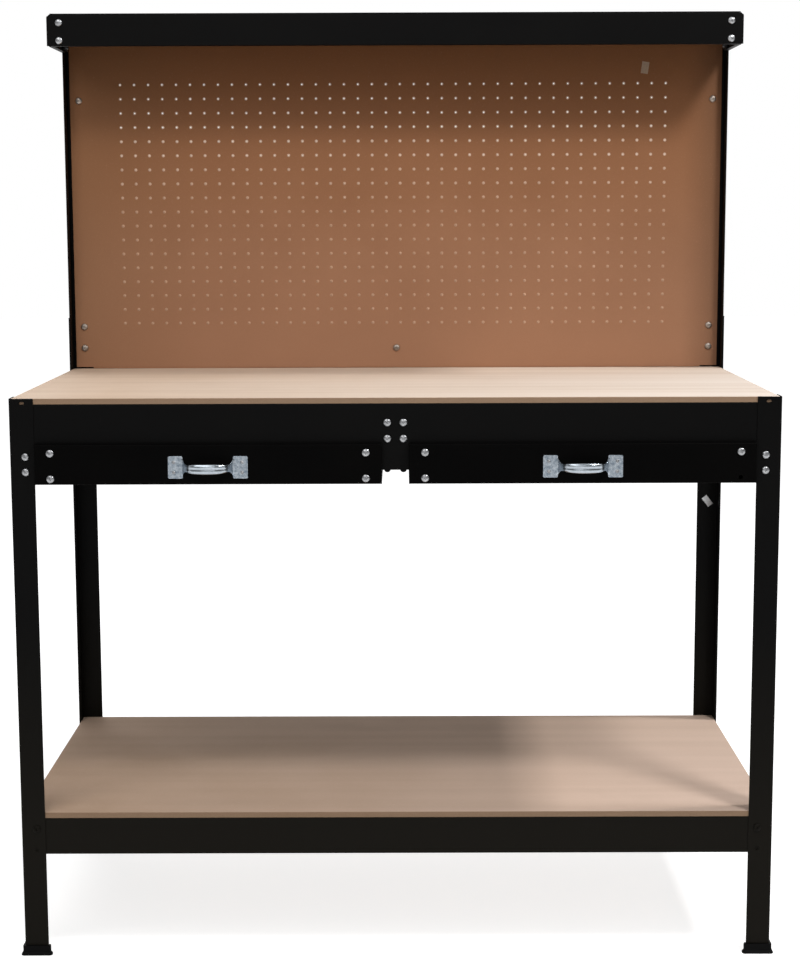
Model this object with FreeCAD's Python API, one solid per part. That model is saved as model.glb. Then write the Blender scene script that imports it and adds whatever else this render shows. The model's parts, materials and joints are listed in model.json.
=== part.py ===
import FreeCAD, Part
import math
import os
from FreeCAD import Vector

# A bolted steel workbench: folded sheet frame, board worktop and lower shelf, two
# drawers hung under the top, and a perforated board behind it under a canopy.
# Lengths are in millimetres. X runs along the bench, Y from the front to the back,
# Z up. While a piece is made, Y is zero on the front face of the front legs and Z
# is zero on the floor; save() then moves it so that the origin is the middle of
# the bottom of the whole bench.

# Driving sizes
WIDTH = 1200.0
DEPTH = 600.0
WORKTOP_HEIGHT = 900.0
TOTAL_HEIGHT = 1525.0
SHELF_HEIGHT = 236.0
BOARD = 9.0
LEG_STEEL = 1.5
SHEET = 1.2
DRAWER_SHEET = 1.0
LEG_FLANGE = 38.0
BEND = 1.0

# Corner joints: the bolt column on a leg, and the bolt rows below the worktop
BOLT_INSET = 24.0
RAIL_BOLT_DROPS = (91.0, 115.0)
SHELF_BOLT_DROP = 27.0
SPARE_HOLE_DROP = 61.0
LEG_TOP_SLOT = (8.0, 4.0)
LEG_TOP_SLOT_DROP = 7.0
LEG_TOP_SLOT_INSET = 20.5

# Rails under the worktop
RAIL_BOTTOM = WORKTOP_HEIGHT - 136.0
TAB_BOTTOM = WORKTOP_HEIGHT - 132.0
RAIL_TOP = WORKTOP_HEIGHT - BOARD
STRIP_BOTTOM = WORKTOP_HEIGHT - 74.0
CENTRE_TAB_BOTTOM = WORKTOP_HEIGHT - 113.0
CENTRE_TAB_HALF = 22.0
TAB_RELIEF = 1.5
END_TAB_START = 563.0
RAIL_FLANGE = 18.5
LIP = 10.0
HANGER_BOLT_X = 12.5
HANGER_BOLT_DROPS = (39.0, 64.0)
HANGER_EDGE = 13.0
HANGER_FLANGE_EDGE = 3.0
FOOT_HALF = 5.2
FOOT_DROP = 4.0

# Lower beams
BEAM_HEIGHT = 60.0
BEAM_TOP = SHELF_HEIGHT - BOARD
BEAM_BOTTOM = BEAM_TOP - BEAM_HEIGHT

# Drawers
FRONT_WIDTH = 540.0
FRONT_HEIGHT = 62.2
FRONT_DEPTH = 12.0
FRONT_TOP = WORKTOP_HEIGHT - 71.3
FRONT_GAP = 42.0
FRONT_STAND_OFF = 0.5
TRAY_WIDTH = 536.0
TRAY_DEPTH = 480.0
TRAY_BOTTOM = WORKTOP_HEIGHT - 131.0
TRAY_TOP = WORKTOP_HEIGHT - 77.5
TRAY_LIP = 16.0
DRAWER_TRAVEL = 330.0
STOP_WIDTH = 14.0
STOP_TOP = WORKTOP_HEIGHT - 71.0
RUNNER_LIP = 13.8
RUNNER_SIDE_GAP = 0.8
HANGER_SIDE_GAP = 0.9
RUNNER_UNDER_GAP = 0.3
RUNNER_OVER_GAP = 1.1
RUNNER_SET_BACK = 2.0
RUNNER_NECK = 3.0
RUNNER_FLANGE_EDGE = 12.0
FRONT_BOLT_X = 245.0
FRONT_BOLT_TOP_DROP = 13.2
FRONT_BOLT_SPACING = 40.0

# Handle
HANDLE_LENGTH = 124.0
HANDLE_PLATE = (23.0, 35.0)
HANDLE_STEEL = 1.2
HANDLE_CORNER = 2.0
HANDLE_REACH = 32.0
HANDLE_DROP = 106.5
GRIP_ROOT = 46.0
GRIP_STATIONS = ((0.0, 16.0, 6.5), (0.42, 15.0, 5.8), (0.72, 12.5, 4.2), (0.86, 18.0, 3.0),
                 (1.0, 28.0, 1.8))
RIVET_INSET = 9.0
RIVET_SPREAD = 8.0
RIVET_SHANK_R = 1.5
RIVET_HEAD_R = 2.8
RIVET_HEAD_H = 1.4

# Pegboard and uprights
PEG_THICKNESS = 4.0
PEG_WIDTH = 1184.0
PEG_TOP = 1490.0
PEG_FLOOR_GAP = 3.0
PEG_PITCH = 25.4
PEG_COLUMNS = 40
PEG_ROWS = 18
PEG_HOLE_R = 2.2
PEG_GRID_SHIFT = -5.0
PEG_LOWEST_ROW = 80.5
PEG_BOLT_RISES = (38.0, 77.0, 487.0)
LEG_OVERLAP = 95.0
CLIP_WIDTH = 40.0
CLIP_TOP_RISE = 50.0
CLIP_BOLT_RISE = 37.0
CLIP_STEP_RISE = 2.0
CLIP_STEP_LENGTH = 3.0
CLIP_BEND = 0.5

# Canopy
CANOPY_DEPTH = 180.0
CANOPY_HEIGHT = 55.0
CANOPY_CORNER = 5.0
CANOPY_BOLT_INSET = 21.0
CANOPY_BOLT_DROPS = (15.5, 45.5)
CANOPY_SIDE_BOLT_BACK = 20.0
CANOPY_REAR_FLANGE = 33.0
CANOPY_REAR_BOLT_DROP = 17.0
CANOPY_FLANGE = 14.0
CANOPY_FLANGE_GAP = 2.0
CANOPY_EAR = 34.0
CANOPY_END_NOTCH = 16.0
CANOPY_TOP_INSET = 4.0

# Shoes on the legs: how far their collar and their base stand off the leg, and their levels
SHOE_COLLAR = 3.2
SHOE_BASE = 6.0
SHOE_EDGE = 1.0
SHOE_HEIGHT = 15.5
SHOE_FLOOR = 4.0
SHOE_RIM = 2.0
SHOE_SLOPE = 3.5

# Fasteners, and how far a cutter reaches past what it cuts
CUT_MARGIN = 1.0
BOLT_R = 3.0
BOLT_HOLE_R = 3.3
BOLT_HEAD_R = 6.2
BOLT_HEAD_H = 3.5
NUT_ACROSS_FLATS = 10.0
NUT_H = 5.0
NUT_BORE_R = 3.1
THREAD_END = 1.5
RECESS_SPAN = 6.0
RECESS_WIDTH = 1.3
RECESS_DEPTH = 1.8
SCREW_R = 2.0
SCREW_HOLE_R = 2.1
SCREW_HEAD_R = 4.0
SCREW_HEAD_H = 2.2
SCREW_BITE = 6.0
SCREW_PILOT = 6.5
SCREW_POINT = 1.0
SCREW_X = (-450.0, -150.0, 150.0, 450.0)
SCREW_Y = (200.0, 400.0)

# Worked-out places
HALF = WIDTH / 2.0
LEG_INNER = HALF - LEG_STEEL
BOARD_GAP = 1.0
FRONT_SKIN = LEG_STEEL
REAR_SKIN = DEPTH - LEG_STEEL
CORNER_GAP = BEND + 0.2
EDGE_GAP = 0.5
FLANGE_START = LEG_STEEL + RAIL_FLANGE + EDGE_GAP
DRAWER_X = (FRONT_GAP + FRONT_WIDTH) / 2.0
FRONT_FACE = FRONT_SKIN - FRONT_STAND_OFF - FRONT_DEPTH
TRAY_FRONT = FRONT_FACE + DRAWER_SHEET
TRAY_OUTER = DRAWER_X + TRAY_WIDTH / 2.0
TRAY_INNER = DRAWER_X - TRAY_WIDTH / 2.0
STOP_FRONT = FRONT_SKIN + LIP + DRAWER_TRAVEL + 0.3
HANDLE_HEIGHT = WORKTOP_HEIGHT - HANDLE_DROP
UPRIGHT_OUTER = LEG_INNER
UPRIGHT_BACK = REAR_SKIN
UPRIGHT_FLANGE = LEG_FLANGE - LEG_STEEL
PEG_BACK = UPRIGHT_BACK - LEG_STEEL
PEG_BOTTOM = WORKTOP_HEIGHT + PEG_FLOOR_GAP
CANOPY_FRONT = DEPTH - CANOPY_DEPTH
CANOPY_UNDER = TOTAL_HEIGHT - SHEET
CANOPY_BOTTOM = TOTAL_HEIGHT - CANOPY_HEIGHT
CANOPY_SIDE_OUTER = UPRIGHT_OUTER + SHEET
RUNNER_WEB = TRAY_OUTER + RUNNER_SIDE_GAP
LOWER_LIP_TOP = TRAY_BOTTOM - RUNNER_UNDER_GAP
UPPER_LIP_BOTTOM = TRAY_TOP + RUNNER_OVER_GAP
BOLT_COLUMN = HALF - BOLT_INSET
RAIL_BOLT_HEIGHTS = [WORKTOP_HEIGHT - drop for drop in RAIL_BOLT_DROPS]
SHELF_BOLT_HEIGHT = SHELF_HEIGHT - SHELF_BOLT_DROP
SPARE_HOLE_HEIGHT = SHELF_HEIGHT - SPARE_HOLE_DROP
HANGER_BOLT_HEIGHTS = [WORKTOP_HEIGHT - drop for drop in HANGER_BOLT_DROPS]
FRONT_BOLT_HEIGHTS = [FRONT_TOP - FRONT_BOLT_TOP_DROP,
                      FRONT_TOP - FRONT_BOLT_TOP_DROP - FRONT_BOLT_SPACING]
CANOPY_BOLT_HEIGHTS = [TOTAL_HEIGHT - drop for drop in CANOPY_BOLT_DROPS]
REACH_FORWARD = HANDLE_REACH - FRONT_FACE
REACH_BACK = DEPTH + NUT_H + THREAD_END
MIDDLE_Y = (REACH_BACK - REACH_FORWARD) / 2.0


def save(node, shape):
    """Move a piece into the bench's own frame and write it under its name."""
    placed = shape.copy()
    placed.translate(Vector(0, -MIDDLE_Y, 0))
    if not placed.isValid():
        raise ValueError("not a valid solid: " + node)
    placed.exportStep("parts/" + node + ".step")
    print("%-26s solids %3d  volume %9.0f" % (node, len(placed.Solids), placed.Volume))


def box(x, y, z):
    """A block between three pairs of limits, each given low and high."""
    size = [pair[1] - pair[0] for pair in (x, y, z)]
    return Part.makeBox(size[0], size[1], size[2], Vector(x[0], y[0], z[0]))


def joined(shapes):
    """One solid from pieces that touch or overlap."""
    return shapes[0].multiFuse(shapes[1:]).removeSplitter()


def parted(shape, axis, place):
    """The two parts of a shape, below and above a plane across an axis."""
    reach = (-2.0 * WIDTH, 2.0 * WIDTH)
    below = {"x": reach, "y": reach, "z": reach}
    above = dict(below)
    below[axis] = (reach[0], place)
    above[axis] = (place, reach[1])
    return [shape.common(box(room["x"], room["y"], room["z"])) for room in (below, above)]


def panels(parts):
    """The flat panels of a folded sheet, kept as solids that meet at their folds."""
    return Part.makeCompound([solid for part in parts for solid in part.Solids])


def drilled(shape, cutters):
    """The shape with all of the cutters taken out of it."""
    return shape.cut(Part.makeCompound(cutters))


def mirrored(shape):
    """The same piece for the other side of the bench."""
    return shape.mirror(Vector(0, 0, 0), Vector(1, 0, 0))


def to_rear(shape):
    """The same piece for the back of the bench."""
    return shape.mirror(Vector(0, DEPTH / 2.0, 0), Vector(0, 1, 0))


def both_sides(shapes):
    """The shapes and their mirror images."""
    return shapes + [mirrored(shape) for shape in shapes]


def rod(radius, start, along, length):
    """A round bar from a point along a direction."""
    return Part.makeCylinder(radius, length, Vector(*start), Vector(*along))


def in_space(u, v, w, plane):
    """A profile's point in the bench: the plane names its two axes in order."""
    if plane == "XY":
        return Vector(u, v, w)
    if plane == "YZ":
        return Vector(w, u, v)
    return Vector(u, w, v)


def corner_points(before, corner, after, radius):
    """Where an arc that rounds a corner starts, passes and ends."""
    incoming = (corner - before).normalize()
    outgoing = (after - corner).normalize()
    turn = incoming.getAngle(outgoing)
    reach = radius * math.tan(turn / 2.0)
    inward = (outgoing - incoming).normalize()
    middle = corner + inward * (radius / math.cos(turn / 2.0) - radius)
    return corner - incoming * reach, middle, corner + outgoing * reach


def rounded_path(points, radii):
    """Edges along the points, each inner corner rounded by its own radius."""
    edges = []
    start = points[0]
    for number in range(1, len(points) - 1):
        first, middle, last = corner_points(points[number - 1], points[number],
                                            points[number + 1], radii[number - 1])
        edges.append(Part.LineSegment(start, first).toShape())
        edges.append(Part.Arc(first, middle, last).toShape())
        start = last
    edges.append(Part.LineSegment(start, points[-1]).toShape())
    return edges


def folded(path, thickness, plane, start, end, bend=BEND):
    """A folded sheet. The path is the sheet's left face, seen along it."""
    face = [Vector(u, v, 0) for u, v in path]
    rights = []
    for first, second in zip(face[:-1], face[1:]):
        way = (second - first).normalize()
        rights.append(Vector(way.y, -way.x, 0))
    back = [face[0] + rights[0] * thickness]
    face_radii = []
    back_radii = []
    for number in range(1, len(face) - 1):
        first = rights[number - 1]
        second = rights[number]
        back.append(face[number] + (first + second) * (thickness / (1.0 + first.dot(second))))
        left_turn = first.cross(second).z > 0
        face_radii.append(bend if left_turn else bend + thickness)
        back_radii.append(bend + thickness if left_turn else bend)
    back.append(face[-1] + rights[-1] * thickness)
    face = [in_space(point.x, point.y, start, plane) for point in face]
    back = [in_space(point.x, point.y, start, plane) for point in back]
    edges = rounded_path(face, face_radii)
    edges.append(Part.LineSegment(face[-1], back[-1]).toShape())
    edges += rounded_path(back[::-1], back_radii[::-1])
    edges.append(Part.LineSegment(back[0], face[0]).toShape())
    solid = Part.Face(Part.Wire(edges)).extrude(in_space(0, 0, end - start, plane))
    if solid.Volume < 0:
        solid.reverse()
    return solid


def bolt(seat, along, grip, recess=True):
    """A domed bolt. Seat is under the head, along points into the work."""
    rise = BOLT_HEAD_H
    sphere_r = (BOLT_HEAD_R ** 2 + rise ** 2) / (2.0 * rise)
    ball = Part.makeSphere(sphere_r, Vector(0, 0, sphere_r - rise))
    head = ball.common(box((-BOLT_HEAD_R, BOLT_HEAD_R), (-BOLT_HEAD_R, BOLT_HEAD_R), (-rise, 0)))
    shank = rod(BOLT_R, (0, 0, 0), (0, 0, 1), grip + NUT_H + THREAD_END)
    body = head.fuse(shank).removeSplitter()
    if recess:
        half = RECESS_SPAN / 2.0
        slim = RECESS_WIDTH / 2.0
        depth = (-rise, -rise + RECESS_DEPTH)
        cross = box((-half, half), (-slim, slim), depth).fuse(box((-slim, slim), (-half, half), depth))
        body = body.cut(cross)
    return aimed(body, seat, along)


def nut(seat, along):
    """A hexagon nut. Seat is its bearing face, along points away from the work."""
    corner_r = NUT_ACROSS_FLATS / math.sqrt(3.0)
    corners = [Vector(corner_r * math.cos(math.radians(60 * turn)),
                      corner_r * math.sin(math.radians(60 * turn)), 0) for turn in range(7)]
    body = Part.Face(Part.makePolygon(corners)).extrude(Vector(0, 0, NUT_H))
    body = body.cut(rod(NUT_BORE_R, (0, 0, 0), (0, 0, 1), NUT_H))
    return aimed(body, seat, along)


def aimed(body, seat, along):
    """Turn a fastener from +Z to a direction and move it to its seat."""
    turned = body.copy()
    turned.Placement = FreeCAD.Placement(Vector(*seat), FreeCAD.Rotation(Vector(0, 0, 1), Vector(*along)))
    return turned


def bolted(seat, along, grip):
    """A bolt and the nut at the far side of what it grips."""
    end = [place + way * grip for place, way in zip(seat, along)]
    return bolt(seat, along, grip), nut(end, along)


def hole(seat, along, radius=BOLT_HOLE_R, reach=8.0):
    """A cutter for a bolt hole through the sheets on both sides of a point."""
    start = [place - way * reach / 2.0 for place, way in zip(seat, along)]
    return rod(radius, start, along, reach)


def slot(centre, length, width, reach=8.0):
    """A cutter for a level round-ended slot through a sheet that faces the front."""
    shift = (length - width) / 2.0
    x, y, z = centre
    ends = [hole((x + side * shift, y, z), (0, 1, 0), width / 2.0, reach) for side in (-1, 1)]
    depth = (y - reach / 2.0, y + reach / 2.0)
    middle = box((x - shift, x + shift), depth, (z - width / 2.0, z + width / 2.0))
    return joined([middle] + ends)


# Places of the frame's bolts, all on the right-hand side of the bench

def rail_bolt_places():
    """Seat, direction and grip of each bolt that holds a rail to a leg."""
    through_front = LEG_STEEL + 2.0 * SHEET
    through_side = LEG_STEEL + SHEET
    places = []
    for height in RAIL_BOLT_HEIGHTS:
        places.append(((BOLT_COLUMN, 0, height), (0, 1, 0), through_front))
        places.append(((BOLT_COLUMN, DEPTH, height), (0, -1, 0), through_front))
        places.append(((HALF, BOLT_INSET, height), (-1, 0, 0), through_side))
        places.append(((HALF, DEPTH - BOLT_INSET, height), (-1, 0, 0), through_side))
    return places


def shelf_bolt_places():
    """Seat, direction and grip of each bolt that holds a lower beam to a leg."""
    grip = LEG_STEEL + SHEET
    height = SHELF_BOLT_HEIGHT
    return [((BOLT_COLUMN, 0, height), (0, 1, 0), grip),
            ((BOLT_COLUMN, DEPTH, height), (0, -1, 0), grip),
            ((HALF, BOLT_INSET, height), (-1, 0, 0), grip),
            ((HALF, DEPTH - BOLT_INSET, height), (-1, 0, 0), grip)]


def hanger_bolt_places():
    """Bolts of the centre hanger; the upper rear ones also hold the clip."""
    places = []
    for number, height in enumerate(HANGER_BOLT_HEIGHTS):
        under_clip = LEG_STEEL if number == 0 else 0.0
        places.append(((HANGER_BOLT_X, FRONT_SKIN, height), (0, 1, 0), 2.0 * SHEET))
        places.append(((HANGER_BOLT_X, REAR_SKIN + under_clip, height), (0, -1, 0),
                       2.0 * SHEET + under_clip))
    return places


def peg_bolt_places():
    """Bolts through the pegboard and an upright, the lower ones through a leg too."""
    places = []
    for rise in PEG_BOLT_RISES:
        grip = PEG_THICKNESS + LEG_STEEL
        if rise < LEG_OVERLAP:
            grip += LEG_STEEL
        places.append(((BOLT_COLUMN, PEG_BACK - PEG_THICKNESS, WORKTOP_HEIGHT + rise), (0, 1, 0), grip))
    return places


def clip_bolt_place():
    """The one bolt through the middle of the pegboard's bottom edge."""
    return ((0, PEG_BACK - PEG_THICKNESS, WORKTOP_HEIGHT + CLIP_BOLT_RISE), (0, 1, 0),
            PEG_THICKNESS + LEG_STEEL)


def canopy_bolt_places():
    """Bolts of the canopy's front corners, of its sides and of its rear flange."""
    places = []
    for height in CANOPY_BOLT_HEIGHTS:
        places.append(((HALF - CANOPY_BOLT_INSET, CANOPY_FRONT, height), (0, 1, 0), 2.0 * SHEET))
        places.append(((CANOPY_SIDE_OUTER, DEPTH - CANOPY_SIDE_BOLT_BACK, height), (-1, 0, 0),
                       SHEET + LEG_STEEL))
    places.append(((BOLT_COLUMN, UPRIGHT_BACK + SHEET, TOTAL_HEIGHT - CANOPY_REAR_BOLT_DROP),
                   (0, -1, 0), SHEET + LEG_STEEL))
    return places


def front_bolt_places(missing_lower_outer):
    """Bolts of one drawer's front panel, on the right-hand drawer."""
    places = []
    for height in FRONT_BOLT_HEIGHTS:
        for side in (-1, 1):
            lower_outer = side > 0 and height == FRONT_BOLT_HEIGHTS[1]
            if missing_lower_outer and lower_outer:
                continue
            places.append(((DRAWER_X + side * FRONT_BOLT_X, FRONT_FACE, height), (0, 1, 0),
                           2.0 * DRAWER_SHEET))
    return places


def fastener_sets(places):
    """The bolts and the nuts of a list of places, on both sides of the bench."""
    pairs = [bolted(*place) for place in places]
    bolts = both_sides([pair[0] for pair in pairs])
    nuts = both_sides([pair[1] for pair in pairs])
    return bolts, nuts


def holes_at(places, reach=20.0):
    """Cutters for the bolt holes of a list of places."""
    return [hole(seat, along, BOLT_HOLE_R, reach) for seat, along, grip in places]


# Legs, shoes and uprights

def leg_angle(low, high):
    """A front right-hand leg's angle, its corner outwards, between two heights."""
    path = [(HALF, LEG_FLANGE), (HALF, 0.0), (HALF - LEG_FLANGE, 0.0)]
    return folded(path, LEG_STEEL, "XY", low, high)


def leg(rear):
    """A right-hand leg with its bolt holes and a spare pair that the lower beams cover."""
    angle = leg_angle(SHOE_FLOOR, WORKTOP_HEIGHT + (LEG_OVERLAP if rear else 0.0))
    spare = [hole((BOLT_COLUMN, 0.0, SPARE_HOLE_HEIGHT), (0, 1, 0)),
             hole((HALF, BOLT_INSET, SPARE_HOLE_HEIGHT), (1, 0, 0))]
    if rear:
        angle = to_rear(angle)
        spare = [to_rear(cutter) for cutter in spare]
    else:
        centre = (HALF - LEG_TOP_SLOT_INSET, 0.0, WORKTOP_HEIGHT - LEG_TOP_SLOT_DROP)
        spare.append(slot(centre, LEG_TOP_SLOT[0], LEG_TOP_SLOT[1]))
    return drilled(angle, spare + holes_at(rail_bolt_places() + shelf_bolt_places() + peg_bolt_places()))


def shoe_outline(stand_off, height):
    """The leg's angle with a margin all round it: a shoe's outline at a height."""
    inner = LEG_STEEL + stand_off
    far = LEG_FLANGE + stand_off
    corners = [(-stand_off, -stand_off), (-stand_off, far), (inner, far), (inner, inner),
               (far, inner), (far, -stand_off)]
    points = [Vector(HALF - across, back, height) for across, back in corners]
    start = (points[0] + points[-1]) * 0.5
    outer = stand_off - SHOE_EDGE
    hollow = SHOE_BASE + SHOE_EDGE - stand_off
    radii = [outer, outer, outer, hollow, outer, outer]
    return Part.Wire(rounded_path([start] + points + [start], radii))


def shoe():
    """A front right-hand shoe: a collar that follows the leg's angle, on a flared base."""
    slope_top = SHOE_RIM + SHOE_SLOPE
    base = Part.Face(shoe_outline(SHOE_BASE, 0.0)).extrude(Vector(0, 0, SHOE_RIM))
    slope = Part.makeLoft([shoe_outline(SHOE_BASE, SHOE_RIM), shoe_outline(SHOE_COLLAR, slope_top)],
                          True, True)
    collar = Part.Face(shoe_outline(SHOE_COLLAR, slope_top)).extrude(Vector(0, 0, SHOE_HEIGHT - slope_top))
    return drilled(joined([base, slope, collar]), [leg_angle(SHOE_FLOOR, SHOE_HEIGHT + CUT_MARGIN)])


def upright():
    """The right-hand upright: an angle nested in the rear leg, up to the canopy."""
    path = [(UPRIGHT_OUTER - UPRIGHT_FLANGE, UPRIGHT_BACK), (UPRIGHT_OUTER, UPRIGHT_BACK),
            (UPRIGHT_OUTER, UPRIGHT_BACK - UPRIGHT_FLANGE)]
    angle = folded(path, LEG_STEEL, "XY", PEG_BOTTOM, CANOPY_UNDER - 2.0 * SHEET)
    return drilled(angle, holes_at(peg_bolt_places() + canopy_bolt_places()))


# Rails under the worktop, and the beams of the lower shelf

def front_rail():
    """The front rail: a flanged strip with three tabs round two drawer cut-outs."""
    face = FRONT_SKIN
    back = FRONT_SKIN + SHEET
    end = LEG_INNER - CORNER_GAP
    step = STRIP_BOTTOM + 2.0 * BEND + SHEET
    upper = folded([(face + RAIL_FLANGE, RAIL_TOP), (face, RAIL_TOP), (face, step)][::-1],
                   SHEET, "YZ", -end, end)
    pieces = [upper]
    for side in (-1, 1):
        ends = sorted((side * (CENTRE_TAB_HALF + TAB_RELIEF), side * END_TAB_START))
        pieces.append(folded([(face + LIP, STRIP_BOTTOM), (face, STRIP_BOTTOM), (face, step)],
                             SHEET, "YZ", ends[0], ends[1]))
        tab = sorted((side * END_TAB_START, side * end))
        pieces.append(box(tab, (face, back), (TAB_BOTTOM, step)))
    pieces.append(box((-CENTRE_TAB_HALF, CENTRE_TAB_HALF), (face, back), (CENTRE_TAB_BOTTOM, step)))
    cutters = both_sides(holes_at(rail_bolt_places() + hanger_bolt_places()))
    cutters += screw_holes("front", RAIL_TOP)
    return drilled(joined(pieces), cutters)


def channel_rail(bottom, top, name):
    """A channel across the front or the back: web, top flange and bottom lip."""
    end = LEG_INNER - CORNER_GAP
    if name == "front":
        path = [(FRONT_SKIN + LIP, bottom), (FRONT_SKIN, bottom), (FRONT_SKIN, top),
                (FRONT_SKIN + RAIL_FLANGE, top)]
    else:
        path = [(REAR_SKIN - RAIL_FLANGE, top), (REAR_SKIN, top), (REAR_SKIN, bottom),
                (REAR_SKIN - LIP, bottom)]
    return folded(path, SHEET, "YZ", -end, end)


def side_rail(bottom, top):
    """A right-hand side rail: full-length web, flanges between the corner joints."""
    outer = LEG_INNER
    first = FRONT_SKIN + SHEET + CORNER_GAP
    last = REAR_SKIN - SHEET - CORNER_GAP
    path = [(outer - RAIL_FLANGE, top), (outer, top), (outer, bottom), (outer - LIP, bottom)]
    channel = folded(path, SHEET, "XZ", FLANGE_START, DEPTH - FLANGE_START)
    web = box((outer - SHEET, outer), (first, last), (bottom + 2.0 * BEND, top - 2.0 * BEND))
    return joined([channel, web])


def screw_places(side):
    """Where wood screws go up through the flange of one rail into a board."""
    across = FRONT_SKIN + RAIL_FLANGE / 2.0 + SHEET
    if side in ("front", "rear"):
        depth = across if side == "front" else DEPTH - across
        return [(x, depth) for x in SCREW_X]
    width = HALF - across
    sign = -1.0 if side == "left" else 1.0
    return [(sign * width, y) for y in SCREW_Y]


def screw_holes(side, top):
    """Cutters for the wood screws' holes in one rail's flange."""
    return [hole((x, y, top), (0, 0, 1), SCREW_HOLE_R) for x, y in screw_places(side)]


def wood_screws(top):
    """Round-headed wood screws under one board."""
    screws = []
    for side in ("front", "rear", "left", "right"):
        for x, y in screw_places(side):
            head = Part.makeCone(SCREW_HEAD_R * 0.6, SCREW_HEAD_R, SCREW_HEAD_H,
                                 Vector(x, y, top - SHEET - SCREW_HEAD_H))
            full = SCREW_BITE - SCREW_POINT
            shank = rod(SCREW_R, (x, y, top - SHEET), (0, 0, 1), SHEET + full)
            point = Part.makeCone(SCREW_R, SCREW_R * 0.3, SCREW_POINT, Vector(x, y, top + full))
            screws.append(joined([head, shank, point]))
    return screws


def board(top):
    """A board that lies inside the legs, with pilot holes for its screws."""
    half = LEG_INNER - BOARD_GAP
    inset = FRONT_SKIN + EDGE_GAP
    slab = box((-half, half), (inset, DEPTH - inset), (top - BOARD, top))
    rim = [edge for edge in slab.Edges if edge.BoundBox.ZMin > top - 0.1]
    slab = slab.makeFillet(BEND, rim)
    pilots = []
    for side in ("front", "rear", "left", "right"):
        for x, y in screw_places(side):
            pilots.append(rod(SCREW_HOLE_R, (x, y, top - BOARD), (0, 0, 1), SCREW_PILOT))
    return drilled(slab, pilots)


# What the drawers run on

def end_flanges(shape, web, outer_edge, low, high):
    """Flanges bent from both ends of a runner's web, for its bolts."""
    pieces = [shape]
    inner_front = FRONT_SKIN + SHEET
    for start, way in ((inner_front, 1.0), (DEPTH - inner_front, -1.0)):
        depth = sorted((start, start + way * SHEET))
        neck_depth = sorted((start, start + way * RUNNER_NECK))
        pieces.append(box(sorted((web[0], outer_edge)), depth, (low, high)))
        pieces.append(box(sorted(web), neck_depth, (low, high)))
    return joined(pieces)


def outer_runner():
    """The right-hand outer runner: a channel that holds the tray's side."""
    web = RUNNER_WEB
    path = [(web - RUNNER_LIP, LOWER_LIP_TOP), (web, LOWER_LIP_TOP),
            (web, UPPER_LIP_BOTTOM), (web - RUNNER_LIP, UPPER_LIP_BOTTOM)]
    start = FRONT_SKIN + SHEET + RUNNER_SET_BACK
    channel = folded(path, SHEET, "XZ", start, DEPTH - start)
    runner = end_flanges(channel, (web, web + SHEET), BOLT_COLUMN + RUNNER_FLANGE_EDGE,
                         LOWER_LIP_TOP + BEND, UPPER_LIP_BOTTOM - BEND)
    runner = drilled(runner, holes_at(rail_bolt_places()))
    lips, rest = parted(runner, "x", web - BEND)
    side, flanges = parted(rest, "x", web + SHEET + BEND)
    return panels([lips, side, flanges])


def hanger_feet():
    """Round-ended tongues that show below the middle tab of the front rail."""
    low = CENTRE_TAB_BOTTOM - FOOT_DROP
    feet = []
    for start, way in ((FRONT_SKIN + SHEET, 1.0), (DEPTH - FRONT_SKIN - SHEET, -1.0)):
        foot = box((HANGER_BOLT_X - FOOT_HALF, HANGER_BOLT_X + FOOT_HALF),
                   sorted((start, start + way * SHEET)), (low, low + 3.0 * FOOT_DROP))
        ends = [edge for edge in foot.Edges
                if abs(edge.tangentAt(0).y) > 0.9 and edge.BoundBox.ZMax < low + 0.1]
        feet.append(foot.makeFillet(FOOT_HALF - 0.1, ends))
    return both_sides(feet)


def centre_hanger():
    """The hanger between the drawers: a channel with a lip under each tray."""
    wall = TRAY_INNER - HANGER_SIDE_GAP
    top = HANGER_BOLT_HEIGHTS[0] + HANGER_EDGE
    path = [(-wall - RUNNER_LIP, LOWER_LIP_TOP), (-wall, LOWER_LIP_TOP), (-wall, top),
            (wall, top), (wall, LOWER_LIP_TOP), (wall + RUNNER_LIP, LOWER_LIP_TOP)]
    start = FRONT_SKIN + SHEET + RUNNER_SET_BACK
    channel = folded(path, SHEET, "XZ", start, DEPTH - start)
    low = CENTRE_TAB_BOTTOM + FOOT_DROP
    high = top - SHEET - BEND
    hanger = end_flanges(channel, (wall - SHEET, wall), HANGER_FLANGE_EDGE, low, high)
    hanger = end_flanges(hanger, (SHEET - wall, -wall), -HANGER_FLANGE_EDGE, low, high)
    hanger = joined([hanger] + hanger_feet())
    hanger = drilled(hanger, both_sides(holes_at(hanger_bolt_places())))
    left_lip, rest = parted(hanger, "x", -wall - BEND)
    middle, right_lip = parted(rest, "x", wall + BEND)
    walls, crown = parted(middle, "z", high)
    return panels([left_lip, right_lip, walls, crown])


# The pegboard and its clip

def peg_hole_centres():
    """Centres of the peg holes, row by row from the bottom."""
    first = PEG_GRID_SHIFT - PEG_PITCH * (PEG_COLUMNS - 1) / 2.0
    return [(first + PEG_PITCH * column, PEG_BOTTOM + PEG_LOWEST_ROW + PEG_PITCH * row)
            for row in range(PEG_ROWS) for column in range(PEG_COLUMNS)]


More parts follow.
